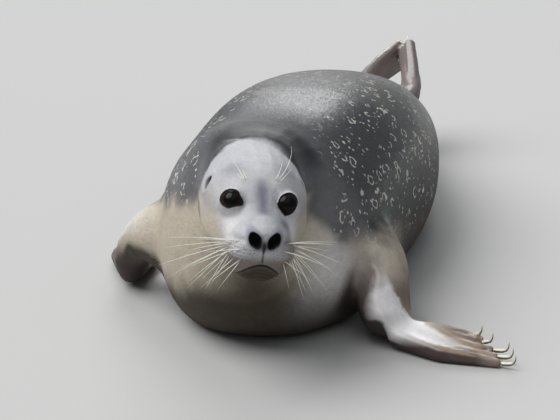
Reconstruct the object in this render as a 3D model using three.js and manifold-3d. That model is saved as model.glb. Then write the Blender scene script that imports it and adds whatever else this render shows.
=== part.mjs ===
// A young harbor seal at life size, resting on its belly with its head raised and turned to its left.
// Units are millimetres. The seal faces -Y, its left side is +X, and the floor is z = 0.
import * as THREE from 'three';
import { mergeVertices } from 'three/addons/utils/BufferGeometryUtils.js';
import Module from 'manifold-3d';

const wasm = await Module();
wasm.setup();
const { Manifold, Mesh: SolidMesh } = wasm;

// ---- driving dimensions ------------------------------------------------------------------------
const GAP = 0.3; // clearance between neighbouring pieces
const FAR = 3000; // reach of the boxes that stand for half spaces
const BALL = [12, 8]; // steps round and down an eyeball

// The tip of the nose, and the turn of the head in degrees.
const HEAD_AT = { x: 67, y: -300, z: 198, yaw: 22.3, pitch: 4, roll: 6 };
const HEAD_SIDES = 28; // corners of a head section
const HEAD_DEPTHS = [1.5, 4.5, 9.5, 16, 24, 33, 43, 52, 60, 68, 78, 90, 105, 122, 142, 168, 200];
const EYE = { radius: 17, x: 33, y: 66, z: 24 }; // eyeball, in the head's frame
const EAR = { x: 62, y: 118, z: 24, long: 8, wide: 5, deep: 7, detail: [10, 6] };
const NOSE_PAD = { back: 9, base: -13, reach: 60 }; // depth, lower edge and outer reach
const NOSTRIL = { x: 11.5, y: -2, z: 0, long: 8.5, wide: 5.2, deep: 9, lean: 28, detail: [10, 6] };
const JAW = { back: 74, front: -35, corner: -43 }; // depth, and heights of the mouth line

// Sections of the head, from the nose to the nape: depth behind the nose tip, half width, and the
// heights of the crown, of the widest level and of the throat. lean tips a section, its base forward.
const HEAD_SECTIONS = [
  { y: 1.5, half: 15, top: 10, level: -2, base: -14, topFull: 2.3, baseFull: 2.2, lean: 0 },
  { y: 6, half: 24, top: 14, level: -7, base: -32, topFull: 2.2, baseFull: 2.2, lean: 0 },
  { y: 13, half: 32, top: 17, level: -14, base: -50, topFull: 2.0, baseFull: 2.2, lean: 0 },
  { y: 24, half: 39, top: 21, level: -18, base: -61, topFull: 1.85, baseFull: 2.2, lean: 0 },
  { y: 40, half: 44, top: 27, level: -18, base: -65, topFull: 1.85, baseFull: 2.2, lean: 0 },
  { y: 56, half: 49, top: 39, level: -14, base: -66, topFull: 2.0, baseFull: 2.2, lean: 0 },
  { y: 72, half: 56, top: 50, level: -8, base: -65, topFull: 2.2, baseFull: 2.2, lean: 2 },
  { y: 92, half: 63, top: 59, level: -2, base: -66, topFull: 2.3, baseFull: 2.1, lean: 6 },
  { y: 118, half: 67, top: 65, level: 2, base: -67, topFull: 2.3, baseFull: 2.1, lean: 12 },
  { y: 146, half: 69, top: 66, level: 2, base: -68, topFull: 2.2, baseFull: 2.1, lean: 18 },
  { y: 200, half: 64, top: 60, level: 0, base: -66, topFull: 2.2, baseFull: 2.1, lean: 22 },
];
// Swellings and hollows of the face, on both sides: where, how far they reach and how high they stand.
const HEAD_SWELLS = [
  { name: 'whisker pad', x: 26, y: 22, z: -20, reach: 17, lift: 4.5 },
  { name: 'brow', x: 30, y: 74, z: 42, reach: 15, lift: 2.5 },
  { name: 'eye socket', x: 37, y: 54, z: 22, reach: 16, lift: -4.5 },
  { name: 'cheek', x: 54, y: 92, z: -22, reach: 26, lift: 4 },
  { name: 'chin', x: 8, y: 20, z: -52, reach: 13, lift: 2.5 },
];

// Sections of the trunk, from the hood of loose skin behind the head to the root of the tail.
const TRUNK_SIDES = 30; // corners of a trunk section
const HOOD_DEPTHS = [-172, -168, -163, -155, -144, -130, -110, -84]; // close sections round the hood
const TRUNK_STEP = 52; // spacing of the sections behind them
const TRUNK_SECTIONS = [
  { y: -172, x: 2, half: 48, top: 264, level: 205, base: 150, topFull: 2.3, baseFull: 2.2, lean: 30 },
  { y: -163, x: 2, half: 70, top: 277, level: 203, base: 112, topFull: 2.3, baseFull: 2.2, lean: 30 },
  { y: -150, x: 2, half: 86, top: 287, level: 198, base: 72, topFull: 2.3, baseFull: 2.2, lean: 28 },
  { y: -120, x: -2, half: 108, top: 290, level: 172, base: 22, topFull: 2.2, baseFull: 2.35, lean: 22 },
  { y: -80, x: -5, half: 132, top: 283, level: 136, base: -12, topFull: 2.15, baseFull: 2.7, lean: 13 },
  { y: -20, x: -4, half: 152, top: 271, level: 108, base: -26, topFull: 2.15, baseFull: 3.0, lean: 6 },
  { y: 60, x: -3, half: 159, top: 265, level: 104, base: -26, topFull: 2.3, baseFull: 3.1, lean: 2 },
  { y: 180, x: -3, half: 165, top: 264, level: 102, base: -26, topFull: 2.4, baseFull: 3.1, lean: 0 },
  { y: 300, x: -2, half: 166, top: 252, level: 100, base: -24, topFull: 2.4, baseFull: 3.0, lean: 0 },
  { y: 410, x: 0, half: 153, top: 229, level: 96, base: -20, topFull: 2.3, baseFull: 2.8, lean: 0 },
  { y: 520, x: 0, half: 122, top: 194, level: 90, base: -14, topFull: 2.15, baseFull: 2.6, lean: 0 },
  { y: 620, x: 0, half: 84, top: 158, level: 84, base: 0, topFull: 2.1, baseFull: 2.4, lean: 0 },
  { y: 700, x: 0, half: 54, top: 136, level: 86, base: 26, topFull: 2.1, baseFull: 2.2, lean: 0 },
  { y: 752, x: 0, half: 36, top: 123, level: 91, base: 54, topFull: 2.0, baseFull: 2.0, lean: 0 },
  { y: 784, x: 0, half: 20, top: 111, level: 92, base: 74, topFull: 2.0, baseFull: 2.0, lean: 0 },
];
const TRUNK_CUTS = { neck: -70, chest: 150, belly: 430 }; // where each of these ends

const TAIL = { from: [0, 752, 92], to: [0, 836, 84], half: 18, thick: 11, rings: 5, sides: 10 };

// Fore limbs: the arm's path from inside the chest to the wrist, then the hand.
const FORE = {
  left: {
    arm: [[84, 24, 112], [132, -8, 98], [157, -38, 68], [170, -77, 36], [187, -98, 22]],
    armHalf: [50, 52, 47, 47, 45],
    armThick: [46, 44, 40, 35, 23],
    armWide: [0.2, -0.97, -0.05],
    along: [0.96, -0.13, -0.05],
    trailing: [0.33, 0.9, 0.28],
    palm: -1,
  },
  right: {
    arm: [[-92, -36, 102], [-140, -24, 98], [-184, 2, 82], [-208, 14, 46], [-211, 38, 18]],
    armHalf: [60, 58, 42, 31, 28],
    armThick: [60, 54, 32, 25, 20],
    armWide: [-0.15, -0.95, 0.2],
    along: [-0.2, 0.975, -0.08],
    trailing: [0.98, 0.2, 0.02],
    palm: -1,
  },
};
const ARM_TUBE = { rings: 9, sides: 12 };
const WRIST = 0.86; // where along the arm's path the wrist lies

// Hands and feet: a web with five digits in it. root is the wrist's share in the web's start, and sweep
// its bend across. The digits have lengths, places across (spread, scaled by fan at root, middle and
// tip) and radii at the same three places, for the first digit and for the others.
const HAND = {
  length: 142, half: 36, web: [0.86, 0.88, 0.62], thick: 9, root: 0.5, sweep: [-4, -5, -6, -4],
  digits: [152, 145, 136, 111, 93], spread: [-28, -16, -5, 6, 17], fan: [0.6, 1.22, 1], from: 0,
  first: [15, 14, 7], others: [9, 7.6, 5.5], digitSides: 6,
};
const FOOT = {
  length: 112, half: 34, web: [0.92, 1, 0.92], thick: 9, root: 1, sweep: [0, -1, -2, -3],
  digits: [112, 106, 103, 105, 110], spread: [-29, -15, 0, 15, 29], fan: [0.5, 0.8, 1], from: 0.12,
  first: [9, 9, 7.5], others: [9, 8.5, 7.5], digitSides: 5,
};
const WEB_PATH = [0, 0.3, 0.6, 0.84]; // shares of the length of a hand or foot
const WEB_TAPER = [1.1, 0.62, 0.3]; // shares of its thickness at the last three of those
const WEB_TUBE = { rings: 5, sides: 12 };
const DIGIT_MIDDLE = 0.5; // where along a digit its middle section lies
const DIGIT_RINGS = 3;
// Claws: the path from inside the digit to the point, in shares of the length, outwards and palmwards.
const FORE_CLAW = {
  length: 27, radius: 3.2, rings: 6, sides: 5,
  path: [[-0.2, 0], [0.4, 0.03], [0.74, 0.2], [0.84, 0.72]],
};
const CLAW_TAPER = { half: [0.85, 0.8, 0.55, 0.12], thick: [1, 1, 0.66, 0.12] };
const HIND_CLAW = {
  length: 15, radius: 1.9, rings: 4, sides: 4,
  path: [[-0.45, 0.05], [0.45, 0.1], [0.86, 0.2], [1, 0.36]],
};

// Hind limbs: raised behind the body with the soles together.
const HIND = {
  left: {
    shank: [[26, 668, 84], [36, 716, 93], [43, 752, 106]],
    along: [-0.28, 0.78, 0.55],
    trailing: [0.4, -0.4, 0.8],
    open: 0.58,
    long: 0.96,
    skew: -0.55,
  },
  right: {
    shank: [[-26, 668, 84], [-36, 716, 94], [-44, 752, 112]],
    along: [0.38, 0.89, 0.26],
    trailing: [0.03, 0.27, -0.96],
    open: 0.8,
    long: 1,
    skew: 0,
  },
};
const SHANK = { half: [30, 25, 20], thick: [30, 22, 15], rings: 5, sides: 12 };

const COLOURS = {
  back: { color: '#4a4a4d', roughness: 0.38 },
  flank: { color: '#8f8b84', roughness: 0.42 },
  face: { color: '#c4c6c9', roughness: 0.45 },
  flipper: { color: '#7d736c', roughness: 0.45 },
  nose: { color: '#5d5c60', roughness: 0.35 },
  eye: { color: '#0e0a09', roughness: 0.06 },
  claw: { color: '#d8cbb0', roughness: 0.32 },
};

// ---- shape helpers -----------------------------------------------------------------------------
const seal = new THREE.Group();
const head = new THREE.Group();
head.position.set(HEAD_AT.x, HEAD_AT.y, HEAD_AT.z);
const radians = THREE.MathUtils.degToRad;
head.rotation.set(radians(HEAD_AT.pitch), radians(HEAD_AT.roll), radians(HEAD_AT.yaw), 'ZXY');
head.updateMatrixWorld();
seal.add(head);

// A curve through a named value of several stations, with flat-ended cubic spans.
function between(stations, key, at) {
  const last = stations.length - 1;
  let i = 0;
  while (i < last - 1 && at > stations[i + 1].y) i += 1;
  const slope = (k) => {
    const a = stations[Math.max(k - 1, 0)];
    const b = stations[Math.min(k + 1, last)];
    return (b[key] - a[key]) / (b.y - a.y);
  };
  const [from, to] = [stations[i], stations[i + 1]];
  const span = to.y - from.y;
  const t = THREE.MathUtils.clamp((at - from.y) / span, 0, 1);
  const [t2, t3] = [t * t, t * t * t];
  return (2 * t3 - 3 * t2 + 1) * from[key] + (t3 - 2 * t2 + t) * span * slope(i)
    + (3 * t2 - 2 * t3) * to[key] + (t3 - t2) * span * slope(i + 1);
}

const power = (value, fullness) => Math.sign(value) * Math.abs(value) ** (2 / fullness);

// A closed section of the body: rounder or fuller above and below its widest level.
function bodyRing(stations, y, sides, grow = 0) {
  const value = (key) => between(stations, key, y);
  const [level, lean] = [value('level'), radians(value('lean'))];
  const x = 'x' in stations[0] ? value('x') : 0;
  const half = value('half') + grow;
  const [up, down] = [value('top') - level + grow, level - value('base') + grow];
  return Array.from({ length: sides }, (_, k) => {
    const angle = (2 * Math.PI * k) / sides;
    const above = Math.sin(angle) >= 0;
    const full = value(above ? 'topFull' : 'baseFull');
    const height = (above ? up : down) * power(Math.sin(angle), full);
    return new THREE.Vector3(
      x + half * power(Math.cos(angle), full),
      y + height * Math.sin(lean),
      level + height * Math.cos(lean),
    );
  });
}

// A closed surface over rings of equal count, with each end closed to its middle or to a given tip.
function loft(rings, startTip, endTip) {
  const sides = rings[0].length;
  const middle = (ring) => ring.reduce((sum, p) => sum.add(p), new THREE.Vector3()).divideScalar(sides);
  const points = [...rings.flat(), startTip ?? middle(rings[0]), endTip ?? middle(rings.at(-1))];
  const [start, end] = [points.length - 2, points.length - 1];
  const index = [];
  const last = (rings.length - 1) * sides;
  for (let k = 0; k < sides; k += 1) {
    const next = (k + 1) % sides;
    for (let base = 0; base < last; base += sides) {
      const [a, b, c, d] = [base + k, base + next, base + sides + k, base + sides + next];
      index.push(a, c, d, a, d, b);
    }
    index.push(start, k, next, end, last + next, last + k);
  }
  const geometry = new THREE.BufferGeometry().setFromPoints(points);
  geometry.setIndex(index);
  return geometry;
}

// A tube along a curve with an oval section: half is its size along wide, thick across it.
function limbTube({ path, half, thick, wide, rings, sides, blunt = 0.6, fullness = 2 }) {
  const curve = new THREE.CatmullRomCurve3(path.map((p) => new THREE.Vector3(...p)));
  const width = (values, t) => {
    const at = t * (values.length - 1);
    const i = Math.min(Math.floor(at), values.length - 2);
    const eased = (at - i) * 0.6 + THREE.MathUtils.smoothstep(at - i, 0, 1) * 0.4;
    return THREE.MathUtils.lerp(values[i], values[i + 1], eased);
  };
  const made = Array.from({ length: rings }, (_, i) => {
    const t = i / (rings - 1);
    const centre = curve.getPoint(t);
    const along = curve.getTangent(t);
    const across = new THREE.Vector3(...wide);
    across.addScaledVector(along, -across.dot(along)).normalize();
    const over = across.clone().cross(along);
    return Array.from({ length: sides }, (_, k) => {
      const angle = (2 * Math.PI * k) / sides;
      return centre.clone()
        .addScaledVector(across, width(half, t) * power(Math.cos(angle), fullness))
        .addScaledVector(over, width(thick, t) * power(Math.sin(angle), fullness));
    });
  });
  const nose = blunt * Math.min(half.at(-1), thick.at(-1));
  const tip = curve.getPoint(1).addScaledVector(curve.getTangent(1), nose);
  return loft(made, undefined, tip);
}

function toSolid(geometry, matrix) {
  const bare = geometry.clone();
  bare.deleteAttribute('normal');
  bare.deleteAttribute('uv');
  if (matrix) bare.applyMatrix4(matrix);
  const merged = mergeVertices(bare, 1e-4);
  return new Manifold(new SolidMesh({
    numProp: 3,
    vertProperties: new Float32Array(merged.attributes.position.array),
    triVerts: new Uint32Array(merged.index.array),
  }));
}

// The largest body of a solid, without the crumbs that a cut may leave.
const largest = (solid) => solid.decompose().reduce((a, b) => (b.volume() > a.volume() ? b : a));

const join = (...solids) => solids.reduce((a, b) => a.add(b));

// A box that fills the half space beyond a plane, on the side that the normal points to.
function halfSpace(point, normal, offset = 0) {
  const out = new THREE.Vector3(...normal).normalize();
  const turn = new THREE.Quaternion().setFromUnitVectors(new THREE.Vector3(0, 0, 1), out);
  const centre = new THREE.Vector3(...point).addScaledVector(out, offset + FAR / 2);
  const matrix = new THREE.Matrix4().compose(centre, turn, new THREE.Vector3(1, 1, 1));
  return toSolid(new THREE.BoxGeometry(FAR, FAR, FAR), matrix);
}

// Parts a solid at a plane, with the clearance between the two sides.
function parted(solid, point, normal) {
  const back = normal.map((n) => -n);
  return [
    solid.intersect(halfSpace(point, back, GAP / 2)),
    solid.intersect(halfSpace(point, normal, GAP / 2)),
  ];
}

const aboveFloor = (solid) => solid.intersect(halfSpace([0, 0, 0], [0, 0, 1]));

function addNode(group, name, solid, finish) {
  const { vertProperties, triVerts } = largest(solid).getMesh();
  const geometry = new THREE.BufferGeometry();
  geometry.setAttribute('position', new THREE.BufferAttribute(new Float32Array(vertProperties), 3));
  geometry.setIndex(new THREE.BufferAttribute(new Uint32Array(triVerts), 1));
  geometry.computeVertexNormals();
  const material = new THREE.MeshStandardMaterial({ ...COLOURS[finish], metalness: 0 });
  const mesh = new THREE.Mesh(geometry, material);
  mesh.name = name;
  group.add(mesh);
}

// ---- head --------------------------------------------------------------------------------------
const SIDES = { left: 1, right: -1 }; // the seal's left is +X

function headShell(grow) {
  const rings = HEAD_DEPTHS.map((y) => bodyRing(HEAD_SECTIONS, y, HEAD_SIDES, grow));
  for (const ring of rings) {
    const centre = ring.reduce((sum, p) => sum.add(p), new THREE.Vector3()).divideScalar(ring.length);
    for (const point of ring) {
      const lift = HEAD_SWELLS.reduce((sum, s) => {
        const reach = (side) => Math.exp(-(((point.x - side * s.x) ** 2 + (point.y - s.y) ** 2
          + (point.z - s.z) ** 2) / s.reach ** 2));
        return sum + s.lift * (reach(1) + reach(-1));
      }, 0);
      point.addScaledVector(point.clone().sub(centre).setY(0).normalize(), lift);
    }
  }
  return toSolid(loft(rings, new THREE.Vector3(0, -grow, -2)));
}

function ellipsoid(x, y, z, matrix, detail = BALL) {
  const ball = new THREE.SphereGeometry(1, ...detail).scale(x, y, z);
  return toSolid(ball, matrix);
}

const placed = (x, y, z, turn = new THREE.Euler()) => new THREE.Matrix4()
  .makeRotationFromEuler(turn).setPosition(x, y, z);

function boxBetween(low, high) {
  const size = high.map((value, i) => value - low[i]);
  return toSolid(new THREE.BoxGeometry(...size), placed(...low.map((value, i) => value + size[i] / 2)));
}

const eyeball = (side, grow) => ellipsoid(
  ...Array(3).fill(EYE.radius + grow), placed(side * EYE.x, EYE.y, EYE.z),
);

function nostril(side) {
  const turn = new THREE.Euler(0, radians(side * NOSTRIL.lean), 0);
  const matrix = placed(side * NOSTRIL.x, NOSTRIL.y, NOSTRIL.z, turn);
  return ellipsoid(NOSTRIL.wide, NOSTRIL.deep, NOSTRIL.long, matrix, NOSTRIL.detail);
}

// The mouth is a sloping plane from the lips to its corners, closed at the back by an upright one.
function jawSpace(offset) {
  const rise = (JAW.corner - JAW.front) / JAW.back;
  const under = halfSpace([0, 0, JAW.front], [0, rise, -1], offset);
  return under.intersect(halfSpace([0, JAW.back, 0], [0, -1, 0], offset));
}

function makeHead(trunk) {
  const toHead = head.matrixWorld.clone().invert();
  const asHead = (solid) => solid.transform(toHead.toArray());
  const [shell, grown] = [headShell(0), headShell(GAP)];
  const eyes = join(eyeball(1, GAP), eyeball(-1, GAP));
  const padSpace = (offset) => boxBetween(
    [-NOSE_PAD.reach, -NOSE_PAD.reach, NOSE_PAD.base - offset],
    [NOSE_PAD.reach, NOSE_PAD.back + offset, NOSE_PAD.reach],
  );
  const carved = shell.subtract(asHead(trunk)).subtract(eyes);
  const whole = largest(carved).subtract(padSpace(GAP));
  addNode(head, 'nose', shell.intersect(padSpace(0)).subtract(join(nostril(1), nostril(-1))), 'nose');
  addNode(head, 'lower_jaw', whole.intersect(jawSpace(GAP / 2)), 'face');
  addNode(head, 'head', whole.subtract(jawSpace(-GAP / 2)), 'face');
  for (const [name, side] of Object.entries(SIDES)) {
    addNode(head, `eye_${name}`, eyeball(side, 0), 'eye');
    const rim = ellipsoid(EAR.deep, EAR.wide, EAR.long, placed(side * EAR.x, EAR.y, EAR.z), EAR.detail);
    addNode(head, `ear_${name}`, rim.subtract(grown), 'face');
  }
}

// ---- trunk -------------------------------------------------------------------------------------
function trunkShell(grow) {
  const [hood, last] = [HOOD_DEPTHS.at(-1), TRUNK_SECTIONS.at(-1).y];
  const count = Math.round((last - hood) / TRUNK_STEP);
  const behind = Array.from({ length: count }, (_, i) => hood + ((last - hood) * (i + 1)) / count);
  const rings = [...HOOD_DEPTHS, ...behind].map((y) => bodyRing(TRUNK_SECTIONS, y, TRUNK_SIDES, grow));
  rings[0].forEach((point) => point.setY(point.y - grow));
  rings.at(-1).forEach((point) => point.setY(point.y + grow));
  return toSolid(loft(rings));
}

function tailSolid(grow) {
  const middle = TAIL.from.map((value, i) => (value + TAIL.to[i]) / 2);
  return toSolid(limbTube({
    path: [TAIL.from, middle, TAIL.to],
    half: [TAIL.half, TAIL.half * 0.9, TAIL.half * 0.4].map((v) => v + grow),
    thick: [TAIL.thick * 1.5, TAIL.thick, TAIL.thick * 0.5].map((v) => v + grow),
    wide: [1, 0, 0],
    rings: TAIL.rings,
    sides: TAIL.sides,
  }));
}

// ---- limbs -------------------------------------------------------------------------------------
const vec = (list) => new THREE.Vector3(...list);

// The frame of a hand or foot: along to its tips, across to its trailing edge, over out of its flat.
function paddleFrame(start, limb) {
  const along = vec(limb.along).normalize();
  const across = vec(limb.trailing);
  across.addScaledVector(along, -across.dot(along)).normalize();
  return { start, along, across, over: across.clone().cross(along) };
}

const paddlePoint = ({ start, along, across, over }, a, b, c = 0) => start.clone()
  .addScaledVector(along, a).addScaledVector(across, b).addScaledVector(over, c).toArray();

// The radii of a digit at its root, middle and tip.
const digitSizes = (size, i) => (i === 0 ? size.first : size.others);

// A foot that is folded closer: narrower and thicker, with one edge slid past the other by skew.
const folded = (size, { open, long, skew }) => ({
  ...size,
  length: size.length * long,
  digits: size.digits.map((v, i) => v * long + size.spread[i] * open * skew),
  half: size.half * open,
  spread: size.spread.map((v) => v * open),
  thick: size.thick / open,
  first: size.first.map((v) => v / Math.sqrt(open)),
  others: size.others.map((v) => v / Math.sqrt(open)),
});

// The web is a thin blade, and each digit a ridge along it that ends beyond its edge.
function paddle(frame, size, root, grow) {
  const across = frame.across.toArray();
  const web = toSolid(limbTube({
    path: WEB_PATH.map((share, i) => paddlePoint(frame, share * size.length, size.sweep[i])),
    half: [root.half * size.root, ...size.web.map((share) => size.half * share)]
      .map((v) => v + grow),
    thick: [root.thick * size.root, ...WEB_TAPER.map((share) => size.thick * share)]
      .map((v) => v + grow),
    wide: across,
    ...WEB_TUBE,
    blunt: 1.2,
  }));
  const places = [size.from, DIGIT_MIDDLE, 1];
  const digits = size.digits.map((length, i) => toSolid(limbTube({
    path: places.map((share, k) => paddlePoint(frame, share * length, size.spread[i] * size.fan[k])),
    half: digitSizes(size, i).map((v) => 0.9 * v + grow),
    thick: digitSizes(size, i).map((v) => v + grow),
    wide: across,
    rings: DIGIT_RINGS,
    sides: size.digitSides,
    blunt: 0.7,
  })));
  return join(web, ...digits);
}

// A claw grows out of the back of a digit near its tip, and hooks towards the palm.
function clawSolid(frame, size, claw, i, palm, grow = 0) {
  const [length, spread] = [size.digits[i], size.spread[i]];
  const at = (a, b, c) => paddlePoint(frame, a, b, c * palm);
  return toSolid(limbTube({
    path: claw.path.map(([out, rise]) => at(length + claw.length * out, spread, claw.length * rise)),
    half: CLAW_TAPER.half.map((share) => claw.radius * share + grow),
    thick: CLAW_TAPER.thick.map((share) => claw.radius * share + grow),
    wide: frame.across.toArray(),
    rings: claw.rings,
    sides: claw.sides,
    blunt: 0.5,
  }));
}

function makeForeLimb(name, trunkGrown) {
  const limb = FORE[name];
  const last = limb.arm.at(-1);
  const frame = paddleFrame(vec(last), limb);
  const root = { half: limb.armHalf.at(-1), thick: limb.armThick.at(-1) };
  const whole = (grow) => aboveFloor(join(
    toSolid(limbTube({
      path: limb.arm,
      half: limb.armHalf.map((v) => v + grow),
      thick: limb.armThick.map((v) => v + grow),
      wide: limb.armWide,
      ...ARM_TUBE,
    })),
    paddle(frame, HAND, root, grow),
  ));
  const limbSolid = largest(whole(0).subtract(trunkGrown));
  const curve = new THREE.CatmullRomCurve3(limb.arm.map(vec));
  const [wrist, along] = [curve.getPoint(WRIST).toArray(), curve.getTangent(WRIST).toArray()];
  const [arm, hand] = parted(limbSolid, wrist, along);
  addNode(seal, `fore_arm_${name}`, arm, 'flipper');
  addNode(seal, `fore_flipper_${name}`, hand, 'flipper');
  const grown = whole(GAP);
  HAND.digits.forEach((_, i) => {
    const claw = clawSolid(frame, HAND, FORE_CLAW, i, limb.palm);
    addNode(seal, `fore_claw_${name}_${i + 1}`, aboveFloor(claw).subtract(grown), 'claw');
  });
}

function makeHindLimb(name, bodyGrown) {
  const limb = HIND[name];
  const frame = paddleFrame(vec(limb.shank.at(-1)), limb);
  const size = folded(FOOT, limb);
  const root = { half: SHANK.half.at(-1), thick: SHANK.thick.at(-1) };
  const whole = (grow) => join(
    toSolid(limbTube({
      path: limb.shank,
      half: SHANK.half.map((v) => v + grow),
      thick: SHANK.thick.map((v) => v + grow),
      wide: limb.trailing,
      rings: SHANK.rings,
      sides: SHANK.sides,
    })),
    paddle(frame, size, root, grow),
  );
  const limbSolid = largest(whole(0).subtract(bodyGrown));
  const [shank, foot] = parted(limbSolid, limb.shank.at(-1), limb.along);
  addNode(seal, `hind_leg_${name}`, shank, 'flank');
  addNode(seal, `hind_flipper_${name}`, foot, 'flipper');
  const grown = whole(GAP);
  const claw = (i, grow) => clawSolid(frame, size, HIND_CLAW, i, SIDES[name], grow);
  FOOT.digits.forEach((_, i) => {
    const clear = claw(i, 0).subtract(join(grown, bodyGrown));
    addNode(seal, `hind_claw_${name}_${i + 1}`, clear, 'claw');
  });
  return join(grown, ...FOOT.digits.map((_, i) => claw(i, GAP)));
}

// ---- the whole animal --------------------------------------------------------------------------
const [trunk, trunkGrown] = [aboveFloor(trunkShell(0)), aboveFloor(trunkShell(GAP))];
makeHead(trunkGrown);

let rest = trunk;
for (const [name, y] of Object.entries(TRUNK_CUTS)) {
  const [front, back] = parted(rest, [0, y, 0], [0, 1, 0]);
  addNode(seal, name, front, name === 'belly' ? 'flank' : 'back');
  rest = back;
}
addNode(seal, 'rump', rest, 'back');
makeForeLimb('left', trunkGrown);
makeForeLimb('right', trunkGrown);
const leftLeg = makeHindLimb('left', trunkGrown);
const rightLeg = makeHindLimb('right', join(trunkGrown, leftLeg));
addNode(seal, 'tail', tailSolid(0).subtract(join(trunkGrown, leftLeg, rightLeg)), 'back');

// The origin is on the floor, under the middle of the whole animal.
const reach = new THREE.Box3().setFromObject(seal, true);
const middle = reach.getCenter(new THREE.Vector3());
seal.position.set(-middle.x, -middle.y, 0);
seal.updateMatrixWorld(true);

export default seal;
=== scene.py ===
"""A harbor seal at rest: its skin, coat, eyes, whiskers and claws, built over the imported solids."""

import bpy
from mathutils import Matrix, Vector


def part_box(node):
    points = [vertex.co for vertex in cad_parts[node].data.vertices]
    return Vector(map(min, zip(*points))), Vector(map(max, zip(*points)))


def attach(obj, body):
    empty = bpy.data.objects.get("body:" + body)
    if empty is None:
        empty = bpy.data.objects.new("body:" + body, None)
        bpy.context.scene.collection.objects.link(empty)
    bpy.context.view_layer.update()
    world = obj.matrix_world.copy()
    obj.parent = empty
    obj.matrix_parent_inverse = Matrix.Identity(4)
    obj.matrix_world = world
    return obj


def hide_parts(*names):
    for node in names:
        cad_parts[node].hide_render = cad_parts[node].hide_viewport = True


bl_info = {
    "name": "Harbor Seal",
    "version": (1, 0, 0),
    "blender": (4, 5, 0),
    "location": "3D View > Sidebar > Seal",
    "description": "Builds the looks of a life-size harbor seal round its packed solids",
    "category": "Object",
}

import math

import bmesh
import bpy
import numpy as np
from mathutils import Matrix, Vector
from mathutils.bvhtree import BVHTree

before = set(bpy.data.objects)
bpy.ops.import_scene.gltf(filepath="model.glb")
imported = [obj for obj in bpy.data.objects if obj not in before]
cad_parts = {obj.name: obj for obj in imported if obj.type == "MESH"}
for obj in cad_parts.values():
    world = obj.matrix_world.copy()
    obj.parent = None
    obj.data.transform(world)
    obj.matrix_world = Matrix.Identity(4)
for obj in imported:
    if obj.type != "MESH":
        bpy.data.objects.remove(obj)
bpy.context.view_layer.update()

# ---- names ---------------------------------------------------------------------------------------
SIDES = {"left": 1, "right": -1}
ONE, BOTH = (1,), (1, -1)  # the sides of the head that a place is on
DIGITS = range(1, 6)
TRUNK_NODES = ["head", "lower_jaw", "nose", "neck", "chest", "belly", "rump", "tail"]
LIMB_NODES = [
    f"{part}_{side}"
    for part in ("fore_arm", "fore_flipper", "hind_leg", "hind_flipper")
    for side in SIDES
]
EAR_NODES = [f"ear_{side}" for side in SIDES]
BAKE_MAP = "OFBake"
# Where each row of random draws starts.
SEEDS = {"whiskers": 7, "coat": 11}

# ---- where things are: millimetres, in the head's own frame or the body's ------------------------
MM = 0.001
HEAD_TURN = (
    Matrix.Rotation(math.radians(22.3), 3, "Z")
    @ Matrix.Rotation(math.radians(4), 3, "X")
    @ Matrix.Rotation(math.radians(6), 3, "Y")
)
EYE_X, EYE_Y, EYE_Z, EYE_RADIUS = 33.0, 66.0, 24.0, 17.0
HEAD_IN_BODY = Vector((67, -300, 198))

# A limb is a line of points down its middle, in the body's frame, with its half width.
LIMBS = {
    "fore_left": ([(84, 24, 112), (132, -8, 98), (157, -38, 68), (170, -77, 36),
                   (187, -98, 22), (325, -118, 14)], 48),
    "fore_right": ([(-92, -36, 102), (-140, -24, 98), (-184, 2, 82), (-208, 14, 46),
                    (-211, 38, 18), (-239, 176, 10)], 50),
    "hind_left": ([(26, 668, 84), (36, 716, 93), (43, 752, 106), (15, 831, 162)], 34),
    "hind_right": ([(-26, 668, 84), (-36, 716, 94), (-44, 752, 112), (-2, 851, 141)], 34),
}

# Where a wrist lies along a fore limb, as a share of its line.
WRIST_ALONG = 0.58

# A hand's own axes: the wrist, the way the digits run and the way to the trailing edge.
HANDS = {
    "fore_left": ((187, -98, 22), (0.96, -0.13, -0.05), (0.33, 0.90, 0.28)),
    "fore_right": ((-211, 38, 18), (-0.20, 0.975, -0.08), (0.98, 0.20, 0.02)),
}
HAND_LONG, HAND_HALF = 142.0, 40.0

# The silver band down the left arm: its middle line in the body's frame, and its half widths.
BAND = [(168, -94, 81), (177, -106, 63), (190, -113, 45), (213, -110, 29), (241, -121, 22),
        (274, -130, 18), (307, -135, 15)]
BAND_HALF = (11, 21, 22, 16, 12, 8, 4)

# An eye's opening: the way it looks (outward and upward degrees), half angles across and up it,
# and how far it is turned in its own plane.
EYE_OPENINGS = {
    "left": {"out": -7, "up": 28, "wide": 34, "high": 45, "turn": -16, "pinch": 0.15},
    "right": {"out": 31, "up": 37, "wide": 51, "high": 37, "turn": 7, "pinch": 0.60},
}
# The face's features: places and sizes, in millimetres and degrees.
NOSTRIL = {"x": 11.3, "z": 0.5, "long": 9.8, "wide": 7.0, "lean": 30, "floor": 14.0}
NOSTRIL_FILL = {"place": (10, NOSTRIL["z"]), "radii": (8, 8, 11)}
MOUTH = {"z": -33.6, "droop": 0.026, "half": 28.0, "depth": 2.6, "width": 1.5}
PAD = {"x": 25.0, "z": -19.0, "wide": 15.0, "high": 12.0, "rise": 5.4, "fold": 3.6}
EAR = {"x": 62.0, "y": 115.0, "z": 29.0, "long": 8.0, "wide": 5.2, "lean": 20, "deep": 5.0}
# How far below the head's own middle its axis runs, and the hood's crease round that axis.
AXIS_DROP = 10.0
CREASE = {"y": 150.0, "rise": 75.0}
# The mantle's lower edge along the body, and the edge of the silver face round the head's axis.
MANTLE = {"y": (-220, -144, -114, -85, -45, 50, 150, 320, 700),
          "z": (205, 175, 153, 141, 126, 108, 86, 62, 50)}
FACE_EDGE = {"turn": (0, 14, 28, 40, 53, 75, 97, 120, 150),
             "y": (196, 192, 179, 160, 141, 128, 119, 106, 90)}


def middle_of(node):
    """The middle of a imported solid's box."""
    low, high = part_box(node)
    return (low + high) / 2


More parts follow.
